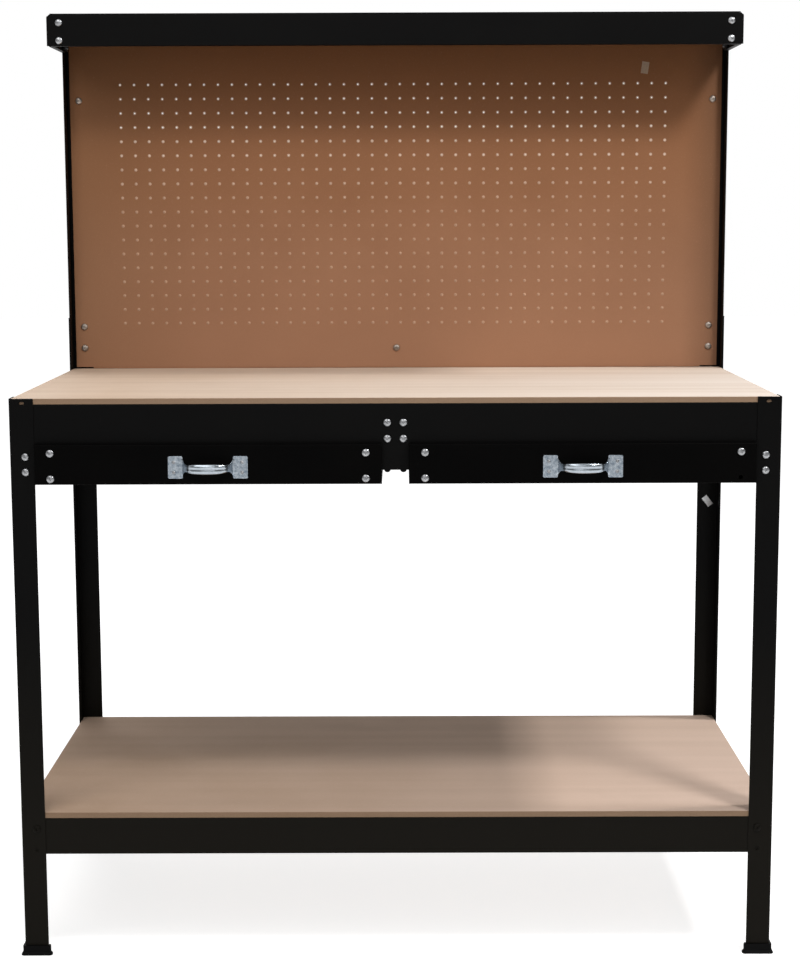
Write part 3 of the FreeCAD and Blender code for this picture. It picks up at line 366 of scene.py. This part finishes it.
SLOT_FINISHES = {"black_steel": PAINT, "pale_board": WORKTOP_BOARD, "brown_hardboard": PEG,
                 "bright_zinc": ZINC, "bright_handle": CHROME, "black_plastic": PLASTIC}
OWN_FINISHES = {"lower_shelf": SHADED_SHELF_BOARD, "left_drawer_front": DRAWER_PAINT,
                "right_drawer_front": DRAWER_PAINT, "pegboard_bolts": ZINC_WITH_PAINTED_REFLECTION}


def finish_of(entry):
    """The finish of a node of the frame: its own, or else its material slot's."""
    return OWN_FINISHES.get(entry["node"], SLOT_FINISHES[entry["material_slot"]])


def dress_frame():
    """Gives each node of the frame its finish."""
    for entry in frame["record"]["subparts"]:
        mesh = frame["nodes"][entry["node"]].data
        mesh.materials.clear()
        mesh.materials.append(finish_of(entry))


# Modelling with Blender's own operators

def begin(add, name, **sizes):
    """Adds a primitive with nothing else selected, and goes into edit mode."""
    bpy.ops.object.select_all(action="DESELECT")
    add(**sizes)
    piece = bpy.context.active_object
    piece.name = name
    piece.data.name = name
    bpy.ops.object.mode_set(mode="EDIT")
    return piece


def settle():
    """Puts the edited piece's place, turn and size into its mesh, and goes on editing."""
    bpy.ops.object.mode_set(mode="OBJECT")
    bpy.ops.object.transform_apply(location=True, rotation=True, scale=True)
    bpy.ops.object.mode_set(mode="EDIT")


def choose(piece, kind, test):
    """Selects the vertices, edges or faces of the edited piece that pass a test."""
    bpy.ops.mesh.select_all(action="DESELECT")
    bpy.ops.mesh.select_mode(type=kind)
    form = bmesh.from_edit_mesh(piece.data)
    for item in {"VERT": form.verts, "EDGE": form.edges, "FACE": form.faces}[kind]:
        if test(item):
            item.select_set(True)
    bmesh.update_edit_mesh(piece.data)


def take(piece):
    """Selects one piece alone and makes it the active one."""
    bpy.ops.object.select_all(action="DESELECT")
    piece.select_set(True)
    bpy.context.view_layer.objects.active = piece


def leave(piece):
    """Leaves edit mode, applies the modifiers and puts the place into the mesh."""
    bpy.ops.mesh.select_all(action="SELECT")
    bpy.ops.mesh.normals_make_consistent(inside=False)
    bpy.ops.object.mode_set(mode="OBJECT")
    take(piece)
    for modifier in list(piece.modifiers):
        bpy.ops.object.modifier_apply(modifier=modifier.name)
    bpy.ops.object.transform_apply(location=True, rotation=True, scale=True)
    return piece


def extrude_edges(move):
    """Extrudes the selected edges by a step."""
    bpy.ops.mesh.extrude_edges_move(TRANSFORM_OT_translate={"value": move})


def rings(steps):
    """Extrudes the selected rim along Z; each step has a rise and a size against the last."""
    for rise, size in steps:
        extrude_edges((0.0, 0.0, rise))
        bpy.ops.transform.resize(value=(size, size, 1.0))


def carve(piece, cutter, operation="DIFFERENCE"):
    """Cuts one closed piece with another, which is then removed."""
    modifier = piece.modifiers.new("cut", "BOOLEAN")
    modifier.operation = operation
    modifier.solver = "EXACT"
    modifier.object = cutter
    take(piece)
    bpy.ops.object.modifier_apply(modifier=modifier.name)
    bpy.data.objects.remove(cutter, do_unlink=True)
    return piece


def joined(pieces, name):
    """One object from several."""
    bpy.ops.object.select_all(action="DESELECT")
    for piece in pieces:
        piece.select_set(True)
    whole = pieces[0]
    bpy.context.view_layer.objects.active = whole
    bpy.ops.object.join()
    whole.name = name
    whole.data.name = name
    return whole


def copied(master, name, turn):
    """A copy of a piece, with its own mesh, put in its place."""
    mesh = master.data.copy()
    mesh.transform(turn)
    copy = bpy.data.objects.new(name, mesh)
    bpy.context.scene.collection.objects.link(copy)
    return copy


def turned_to(seat, outward, spin=0.0):
    """The move that takes a piece made along Z to a seat, facing a way."""
    quarter = outward.to_track_quat("Z", "Y").to_matrix().to_4x4()
    return Matrix.Translation(seat) @ quarter @ Matrix.Rotation(spin, 4, "Z")


def dressed(piece, material, body, smooth=35.0):
    """Gives a finished piece its look and the body that it rides on."""
    take(piece)
    bpy.ops.object.shade_smooth_by_angle(angle=math.radians(smooth))
    piece.data.materials.clear()
    piece.data.materials.append(material)
    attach(piece, body)
    return piece


def body_of(node):
    """The body that a node of the frame rides on."""
    for side in ("left", "right"):
        if node.startswith(side + "_drawer_"):
            return side + "_drawer"
    return "bench"


# Bolts and nuts

BOLT_HEAD_R = 0.0062
BOLT_HEAD_H = 0.0035
BOLT_R = 0.0030
# The foot of the head, as a share of its radius
HEAD_FOOT = 0.97
# The head's dome, ring by ring: the share of its height that a ring climbs, and the ring's
# size against the last one.
HEAD_DOME = ((0.09, 1.03), (0.16, 1.0), (0.20, 0.955), (0.19, 0.90),
             (0.16, 0.83), (0.12, 0.72), (0.06, 0.5), (0.02, 0.25))
# Each bar of the cross recess: its length, width and height, and how far its floor narrows.
RECESS = (0.0066, 0.0014, 0.0036)
RECESS_TAPER = 0.45
SHANK_IN_HEAD = 0.0002
THREAD_PITCH = 0.0010
THREAD_TURNS = 5
THREAD_ROOT = 0.90
TIP_LENGTH = 0.0005
TIP_SIZE = 0.86
NUT_FLATS = 0.0100
NUT_H = 0.0050
NUT_CHAMFER = 0.0009
MOUTH_INSET = 0.0014
MOUTH_DEPTH = 0.0012
MOUTH_FLARE = 1.35


def span(points):
    """The lowest and the highest corner round some points."""
    low = Vector([min(point[axis] for point in points) for axis in range(3)])
    high = Vector([max(point[axis] for point in points) for axis in range(3)])
    return low, high


def loose_parts(node):
    """The separate solids of a node, each as a list of its points, in order of place."""
    form = bmesh.new()
    form.from_mesh(frame["nodes"][node].data)
    bmesh.ops.remove_doubles(form, verts=form.verts, dist=0.000002)
    left = set(form.verts)
    parts = []
    while left:
        waiting = [left.pop()]
        part = []
        while waiting:
            point = waiting.pop()
            part.append(point.co.copy())
            for edge in point.link_edges:
                other = edge.other_vert(point)
                if other in left:
                    left.remove(other)
                    waiting.append(other)
        parts.append(part)
    form.free()
    return sorted(parts, key=lambda part: [round(value, 5) for value in span(part)[0]])


def pointing(axis, way):
    """A direction along one axis."""
    return Vector([way if number == axis else 0.0 for number in range(3)])


def bolt_seat(points):
    """Where a bolt's head sits, the way that its head faces, and its shank's length."""
    low, high = span(points)
    size = high - low
    axis = min(range(3), key=lambda way: abs(size[(way + 1) % 3] - size[(way + 2) % 3]))
    centre = (low + high) / 2.0

    def off_axis(point):
        away = point - centre
        away[axis] = 0.0
        return away.length

    head_low, head_high = span([point for point in points if off_axis(point) > BOLT_R * 1.3])
    facing = 1.0 if head_low[axis] + head_high[axis] > low[axis] + high[axis] else -1.0
    seat = centre.copy()
    seat[axis] = head_low[axis] if facing > 0.0 else head_high[axis]
    tip = low[axis] if facing > 0.0 else high[axis]
    return seat, pointing(axis, facing), abs(seat[axis] - tip)


def nut_seat(points):
    """The middle of a nut's bearing face, and the axis that it lies along."""
    low, high = span(points)
    size = high - low
    outward = pointing(min(range(3), key=lambda way: size[way]), 1.0)
    return (low + high) / 2.0 - outward * NUT_H / 2.0, outward


def bolt_head():
    """A domed head with a flat rim and a cross recess, made facing up from z = 0."""
    head = begin(bpy.ops.mesh.primitive_circle_add, "bolt_head", vertices=28,
                 radius=BOLT_HEAD_R * HEAD_FOOT, fill_type="NGON", location=(0.0, 0.0, 0.0))
    choose(head, "EDGE", lambda edge: True)
    rings([(BOLT_HEAD_H * climb, size) for climb, size in HEAD_DOME])
    bpy.ops.mesh.edge_face_add()
    leave(head)
    for turn in (0.0, math.pi / 2.0):
        recess = begin(bpy.ops.mesh.primitive_cube_add, "recess", size=1.0,
                       location=(0.0, 0.0, BOLT_HEAD_H), scale=RECESS, rotation=(0.0, 0.0, turn))
        choose(recess, "FACE", lambda face: face.normal.z < -0.5)
        bpy.ops.transform.resize(value=(RECESS_TAPER, RECESS_TAPER, 1.0))
        leave(recess)
        carve(head, recess)
    return head


def bolt_shank(length):
    """A threaded shank that hangs down from z = 0 to a chamfered end."""
    shank = begin(bpy.ops.mesh.primitive_circle_add, "bolt_shank", vertices=14, radius=BOLT_R,
                  fill_type="NGON", location=(0.0, 0.0, SHANK_IN_HEAD))
    choose(shank, "EDGE", lambda edge: True)
    plain = length - THREAD_TURNS * THREAD_PITCH - TIP_LENGTH
    half = THREAD_PITCH / 2.0
    steps = [(-plain - SHANK_IN_HEAD, 1.0)]
    steps += [(-half, THREAD_ROOT), (-half, 1.0 / THREAD_ROOT)] * THREAD_TURNS
    steps.append((-TIP_LENGTH, TIP_SIZE))
    rings(steps)
    bpy.ops.mesh.edge_face_add()
    return leave(shank)


def hex_nut():
    """A hexagon nut with its corners chamfered and its thread's mouth countersunk."""
    corner = NUT_FLATS / math.sqrt(3.0)
    middle = (0.0, 0.0, NUT_H / 2.0)
    nut = begin(bpy.ops.mesh.primitive_cylinder_add, "hex_nut", vertices=6, radius=corner,
                depth=NUT_H, location=middle)
    leave(nut)
    lens = begin(bpy.ops.mesh.primitive_cylinder_add, "lens", vertices=36, radius=corner * 1.01,
                 depth=NUT_H * 1.02, location=middle)
    choose(lens, "EDGE", lambda edge: abs(edge.verts[0].co.z - edge.verts[1].co.z) < 0.0001)
    bpy.ops.mesh.bevel(offset=NUT_CHAMFER, segments=2)
    leave(lens)
    carve(nut, lens, "INTERSECT")
    bore = begin(bpy.ops.mesh.primitive_cylinder_add, "bore", vertices=18, radius=BOLT_R * 1.01,
                 depth=NUT_H * 1.4, location=middle)
    for end in (-1.0, 1.0):
        choose(bore, "FACE", lambda face: face.normal.z * end > 0.5)
        bpy.ops.transform.translate(value=(0.0, 0.0, -end * MOUTH_INSET))
        bpy.ops.mesh.extrude_region_move(TRANSFORM_OT_translate={"value": (0.0, 0.0, end * MOUTH_DEPTH)})
        bpy.ops.transform.resize(value=(MOUTH_FLARE, MOUTH_FLARE, 1.0))
    leave(bore)
    return carve(nut, bore)


def modelled_bolts(node, head, shanks):
    """A modelled bolt for each one of a node; the shanks already made are kept by length."""
    copies = []
    for count, points in enumerate(loose_parts(node)):
        seat, outward, length = bolt_seat(points)
        key = round(length, 4)
        if key not in shanks:
            shanks[key] = bolt_shank(length)
        turn = turned_to(seat, outward, 0.9 * count + 0.4)
        copies.append(copied(head, "head", turn))
        copies.append(copied(shanks[key], "shank", turn))
    return copies


def modelled_nuts(node, nut):
    """A modelled nut for each one of a node."""
    return [copied(nut, "nut", turned_to(*nut_seat(points))) for points in loose_parts(node)]


def make_fasteners():
    """Puts modelled bolts and nuts where the frame has its plain ones."""
    head = bolt_head()
    nut = hex_nut()
    shanks = {}
    for entry in frame["record"]["subparts"]:
        node = entry["node"]
        if node.endswith("_bolts"):
            copies = modelled_bolts(node, head, shanks)
        elif node.endswith("_nuts"):
            copies = modelled_nuts(node, nut)
        else:
            continue
        piece = joined(copies, "modelled_" + node)
        dressed(piece, finish_of(entry), body_of(node), smooth=32.0)
        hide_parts(node)
    for master in [head, nut] + list(shanks.values()):
        bpy.data.objects.remove(master, do_unlink=True)


# The drawers' handles

HANDLE_LENGTH = 0.124
HANDLE_STEEL = 0.0012
PLATE_SIZE = (0.023, 0.035)
PLATE_CORNER = 0.0022
PLATE_RIM = 0.0006
PLATE_EDGE = 0.0004
# Half of the grip's rings: how far from the middle, how high, how thick, how far out.
GRIP_RINGS = ((0.0000, 0.0158, 0.0068, 0.0285), (0.0110, 0.0156, 0.0067, 0.0280),
              (0.0200, 0.0148, 0.0062, 0.0262), (0.0262, 0.0132, 0.0054, 0.0229),
              (0.0302, 0.0116, 0.0046, 0.0185), (0.0330, 0.0108, 0.0038, 0.0137),
              (0.0350, 0.0126, 0.0031, 0.0093), (0.0367, 0.0170, 0.0024, 0.0057),
              (0.0381, 0.0222, 0.0018, 0.0032), (0.0394, 0.0268, 0.0014, 0.0016),
              (0.0410, 0.0296, 0.0011, 0.0009), (0.0430, 0.0305, 0.0010, 0.0006))
# The groove along the grip's front: how deep, and how far from the middle it runs.
GROOVE_DEPTH = 0.0012
GROOVE_REACH = 0.031


def handle_grip(x, face, z):
    """The bowed grip, drawn out ring by ring from one plate to the other."""
    run = [(-along, tall, deep, out) for along, tall, deep, out in GRIP_RINGS[:0:-1]]
    run += GRIP_RINGS
    start, tall, deep, out = run[0]
    grip = begin(bpy.ops.mesh.primitive_circle_add, "grip", vertices=16, radius=0.5, fill_type="NGON",
                 location=(x + start, face - out, z), rotation=(0.0, math.pi / 2.0, 0.0))
    bpy.ops.mesh.select_all(action="SELECT")
    bpy.ops.transform.resize(value=(1.0, deep, tall))
    choose(grip, "EDGE", lambda edge: True)
    for before, after in zip(run, run[1:]):
        extrude_edges((after[0] - before[0], before[3] - after[3], 0.0))
        bpy.ops.transform.resize(value=(1.0, after[2] / before[2], after[1] / before[1]))
    bpy.ops.mesh.edge_face_add()
    settle()

    def in_groove(point):
        ring = min(run, key=lambda ring: abs(x + ring[0] - point.co.x))
        level = abs(point.co.z - z) < 0.0005
        return level and abs(ring[0]) < GROOVE_REACH and point.co.y < face - ring[3]

    choose(grip, "VERT", in_groove)
    bpy.ops.transform.translate(value=(0.0, GROOVE_DEPTH, 0.0))
    smoother = grip.modifiers.new("smooth", "SUBSURF")
    smoother.levels = 2
    smoother.render_levels = 2
    return leave(grip)


def handle_plate(x, face, z):
    """One pressed end plate with rounded corners and softened edges."""
    plate = begin(bpy.ops.mesh.primitive_cube_add, "plate", size=1.0,
                  location=(x, face - HANDLE_STEEL / 2.0, z),
                  scale=(PLATE_SIZE[0], HANDLE_STEEL, PLATE_SIZE[1]))
    settle()
    choose(plate, "EDGE", lambda edge: abs(edge.verts[0].co.y - edge.verts[1].co.y) > HANDLE_STEEL / 2.0)
    bpy.ops.mesh.bevel(offset=PLATE_CORNER, segments=4)
    choose(plate, "FACE", lambda side: side.normal.y < -0.9)
    bpy.ops.mesh.inset(thickness=PLATE_RIM, depth=0.0)

    def on_the_front_rim(edge):
        in_front = all(point.co.y < face - HANDLE_STEEL + 0.0001 for point in edge.verts)
        return in_front and any(abs(side.normal.y) < 0.5 for side in edge.link_faces)

    choose(plate, "EDGE", on_the_front_rim)
    bpy.ops.mesh.bevel(offset=PLATE_EDGE, segments=2)
    return leave(plate)


def make_handles():
    """A handle on each drawer, in place of the frame's plain one."""
    for side in ("left", "right"):
        node = side + "_drawer_handle"
        low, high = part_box(node)
        x, face, z = (low.x + high.x) / 2.0, high.y, (low.z + high.z) / 2.0
        away = (HANDLE_LENGTH - PLATE_SIZE[0]) / 2.0
        pieces = [handle_grip(x, face, z), handle_plate(x - away, face, z), handle_plate(x + away, face, z)]
        piece = joined(pieces, side + "_pressed_handle")
        dressed(piece, CHROME, side + "_drawer", smooth=40.0)
        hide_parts(node)


# The pegboard's torn edges

# The fuzzy rims of the peg holes, as shares of a hole's radius. The bands, from the bottom,
# each give their rows of holes and how far the rims are open.
RIM_OUTER = 1.36
RIM_SHOULDER = 1.22
RIM_BACK = 1.06
RIM_BANDS = ((9, 0.07), (3, 0.15), (2, 0.27), (4, 0.50))
# A rim starts just inside the board's face, stands out at its shoulder, and goes back in
# by small steps, a little wider at the second.
RIM_START = 0.0003
RIM_PROUD = 0.00045
RIM_LIP = 0.00005
RIM_DEPTH = 0.0006
RIM_WIDENS = 0.04
LOWER_EDGE_ROUND = 0.0006
LOWER_EDGE_GAP = 0.0002
LOWER_EDGE_SIDE_GAP = 0.001


def peg_rims(name, row, rows, opening):
    """Fuzzy rims in the mouths of a band of peg holes, from one made once and repeated."""
    first = PEG_SHIFT - PEG_PITCH * (PEG_COLUMNS - 1) / 2.0
    rim = begin(bpy.ops.mesh.primitive_circle_add, name, vertices=10, radius=PEG_HOLE_R * RIM_OUTER,
                location=(first, PEG_LOW.y + RIM_START, PEG_LOWEST_ROW + PEG_PITCH * row),
                rotation=(math.pi / 2.0, 0.0, 0.0))
    settle()
    choose(rim, "EDGE", lambda edge: True)
    radius = RIM_OUTER
    for depth, wide in ((-RIM_PROUD, RIM_SHOULDER), (RIM_LIP, opening),
                        (RIM_DEPTH, opening + RIM_WIDENS), (RIM_DEPTH, RIM_BACK)):
        extrude_edges((0.0, depth, 0.0))
        bpy.ops.transform.resize(value=(wide / radius, 1.0, wide / radius))
        radius = wide
    choose(rim, "EDGE", lambda edge: edge.is_boundary)
    bpy.ops.mesh.bridge_edge_loops()
    for count, step in ((PEG_COLUMNS, (PEG_PITCH, 0.0, 0.0)), (rows, (0.0, 0.0, PEG_PITCH))):
        repeat = rim.modifiers.new("repeat", "ARRAY")
        repeat.count = count
        repeat.use_relative_offset = False
        repeat.use_constant_offset = True
        repeat.constant_offset_displace = step
    leave(rim)
    return dressed(rim, FIBRE, "bench", smooth=60.0)


def make_peg_rims():
    """The fuzz closes the lower holes more than the upper ones."""
    row = 0
    for number, (rows, opening) in enumerate(RIM_BANDS, 1):
        peg_rims("peg_hole_rims_%d" % number, row, rows, opening)
        row += rows


def make_peg_edge():
    """The pegboard's rough lower edge, which closes the slit above the worktop."""
    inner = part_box("rear_right_leg")[0].x - LOWER_EDGE_SIDE_GAP
    low = WORKTOP_TOP + LOWER_EDGE_GAP
    high = PEG_LOW.z
    middle = (low + high) / 2.0
    strip = begin(bpy.ops.mesh.primitive_cube_add, "pegboard_lower_edge", size=1.0,
                  location=(0.0, (PEG_LOW.y + PEG_HIGH.y) / 2.0, middle),
                  scale=(2.0 * inner, PEG_HIGH.y - PEG_LOW.y - 2.0 * LOWER_EDGE_GAP, high - low))
    settle()
    choose(strip, "EDGE", lambda edge: all(point.co.z < middle for point in edge.verts))
    bpy.ops.mesh.bevel(offset=LOWER_EDGE_ROUND, segments=3)
    leave(strip)
    return dressed(strip, PEG, "bench")


# Blank labels

# Each label's middle along the bench and up it, its length and height, and its tilt in degrees.
BOARD_LABEL = (0.4525, 1.4430, 0.021, 0.013, 82.0)
LEG_LABEL = (0.5810, 0.6480, 0.020, 0.011, -52.0)
LABEL_PAPER = 0.00025
LABEL_LIFT = 0.0005
LABEL_GAP = 0.00005
LEG_STEEL = 0.0015


def label(name, material, face, spot):
    """A thin blank label on a face towards the front, with one corner lifted a little."""
    along, up, long, tall, tilt = spot
    piece = begin(bpy.ops.mesh.primitive_grid_add, name, x_subdivisions=8, y_subdivisions=5, size=1.0,
                  location=(0.0, 0.0, 0.0))
    bpy.ops.mesh.select_all(action="SELECT")
    bpy.ops.transform.resize(value=(long, tall, 1.0))
    choose(piece, "VERT", lambda point: point.co.x > long * 0.3 and point.co.y > tall * 0.2)
    bpy.ops.transform.translate(value=(0.0, 0.0, LABEL_LIFT))
    paper = piece.modifiers.new("paper", "SOLIDIFY")
    paper.thickness = LABEL_PAPER
    paper.offset = 1.0
    leave(piece)
    centre = Vector((along, face - LABEL_GAP, up))
    piece.data.transform(turned_to(centre, TO_THE_FRONT, math.radians(tilt)))
    return dressed(piece, material, "bench", smooth=60.0)


def make_labels():
    """The small blank labels on the pegboard and on the rear right leg."""
    leg_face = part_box("rear_right_leg")[1].y - LEG_STEEL
    label("blank_board_label", PALE_LABEL, PEG_LOW.y, BOARD_LABEL)
    label("blank_leg_label", FOIL_LABEL, leg_face, LEG_LABEL)


# The camera, the floor and the light

CAMERA_PLACE = Vector((0.0134, -3.2711, 1.1813))
CAMERA_YAW = math.radians(-0.123)
CAMERA_PITCH = math.radians(8.019)
CAMERA_ROLL = math.radians(-0.192)
CAMERA_LENS = 71.56
CAMERA_REACH = 60.0
# The floor shows dimmer near the bench, so that its shadow stays, and white further out.
FLOOR_SIZE = 30.0
FLOOR_PLACE = (0.0, 4.0, 0.0)
FLOOR_COLOUR = (0.66, 0.66, 0.66)
BLACK = (0.0, 0.0, 0.0)
WHITE = (1.0, 1.0, 1.0)
FLOOR_GLOW = (0.78, 1.0)
FLOOR_GLOW_REACH = (0.9, 2.6)
# The strength of the room's own light, and of what metal mirrors from before the bench.
WORLD_LIGHT = 0.13
WORLD_BEFORE = 0.20
WORLD_TURN = (-0.45, 0.25)
# Each lamp's place, the point that it faces, its size and its power.
LAMPS = {"side": ((1.37, -1.45, 2.79), (0.0, 0.0, 0.9), 0.45, 34.0),
         "right": ((2.9, 0.0, 4.07), (0.3, 0.0, 0.5), 0.5, 90.0),
         "overhead": ((-1.0, -1.9, 3.1), (0.0, -0.3, 0.8), 2.0, 36.0),
         "front": ((-0.2, -4.2, 2.2), (0.0, 0.0, 0.8), 2.2, 21.0),
         "rear": ((-1.5, 3.6, 3.0), (0.0, 0.0, 0.9), 2.4, 30.0)}


def set_camera():
    """A long-lens camera a little above the worktop, as in the photograph."""
    data = bpy.data.cameras.new("camera")
    camera = bpy.data.objects.new("camera", data)
    bpy.context.scene.collection.objects.link(camera)
    ahead = Vector((math.sin(CAMERA_YAW) * math.cos(CAMERA_PITCH),
                    math.cos(CAMERA_YAW) * math.cos(CAMERA_PITCH), -math.sin(CAMERA_PITCH)))
    right = Vector((math.cos(CAMERA_YAW), -math.sin(CAMERA_YAW), 0.0))
    up = right.cross(ahead)
    rolled_right = right * math.cos(CAMERA_ROLL) + up * math.sin(CAMERA_ROLL)
    rolled_up = up * math.cos(CAMERA_ROLL) - right * math.sin(CAMERA_ROLL)
    turn = Matrix((rolled_right, rolled_up, -ahead)).transposed().to_4x4()
    camera.matrix_world = Matrix.Translation(CAMERA_PLACE) @ turn
    data.lens = CAMERA_LENS
    data.clip_end = CAMERA_REACH
    bpy.context.scene.camera = camera


def set_floor():
    """A pale floor that shows white to the camera and keeps the bench's shadow."""
    bpy.ops.object.select_all(action="DESELECT")
    bpy.ops.mesh.primitive_plane_add(size=FLOOR_SIZE, location=FLOOR_PLACE)
    bpy.ops.object.transform_apply(location=True, rotation=True, scale=True)
    floor = bpy.context.active_object
    floor.name = "floor"
    finish = Finish("pale floor")
    path = finish.node("LightPath", output="Is Camera Ray")
    seen = path + path.other("Is Glossy Ray") + path.other("Is Transmission Ray")
    across, away = finish.parts(finish.place())[:2]
    reach = (across * across + away * away) ** 0.5
    glow = finish.spread(reach, *FLOOR_GLOW_REACH, *FLOOR_GLOW)
    finish.set(Base_Color=FLOOR_COLOUR, Roughness=0.9, Specular_IOR_Level=0.0,
               Emission_Color=finish.blend(seen * glow, BLACK, WHITE), Emission_Strength=1.0)
    floor.data.materials.append(finish.material)


def set_world():
    """A dim even room, bright behind the bench, that the camera sees as white."""
    world = bpy.data.worlds.new("world")
    bpy.context.scene.world = world
    room = Nodes(world, "Background")
    path = room.node("LightPath", output="Is Camera Ray")
    ahead = room.parts(room.node("TexCoord", output="Generated"))[1]
    clear = room.math("MAXIMUM", path, path.other("Is Transmission Ray"))
    mirrored = room.spread(ahead, *WORLD_TURN, WORLD_BEFORE, 1.0) * path.other("Is Glossy Ray")
    shown = room.math("MAXIMUM", clear, mirrored)
    room.set(Strength=room.math("MAXIMUM", shown, WORLD_LIGHT), Color=WHITE)


def set_lamps():
    """Small lamps from the right, soft ones above and in front, and a weak one behind."""
    for name, (place, target, size, power) in LAMPS.items():
        data = bpy.data.lights.new(name, "AREA")
        data.shape = "SQUARE"
        data.size = size
        data.energy = power
        lamp = bpy.data.objects.new(name, data)
        lamp.location = place
        lamp.rotation_euler = (Vector(target) - Vector(place)).to_track_quat("-Z", "Y").to_euler()
        bpy.context.scene.collection.objects.link(lamp)


dress_frame()
make_fasteners()
make_handles()
make_peg_rims()
make_peg_edge()
make_labels()
set_camera()
set_floor()
set_world()
set_lamps()
bpy.context.scene.view_settings.view_transform = "Standard"
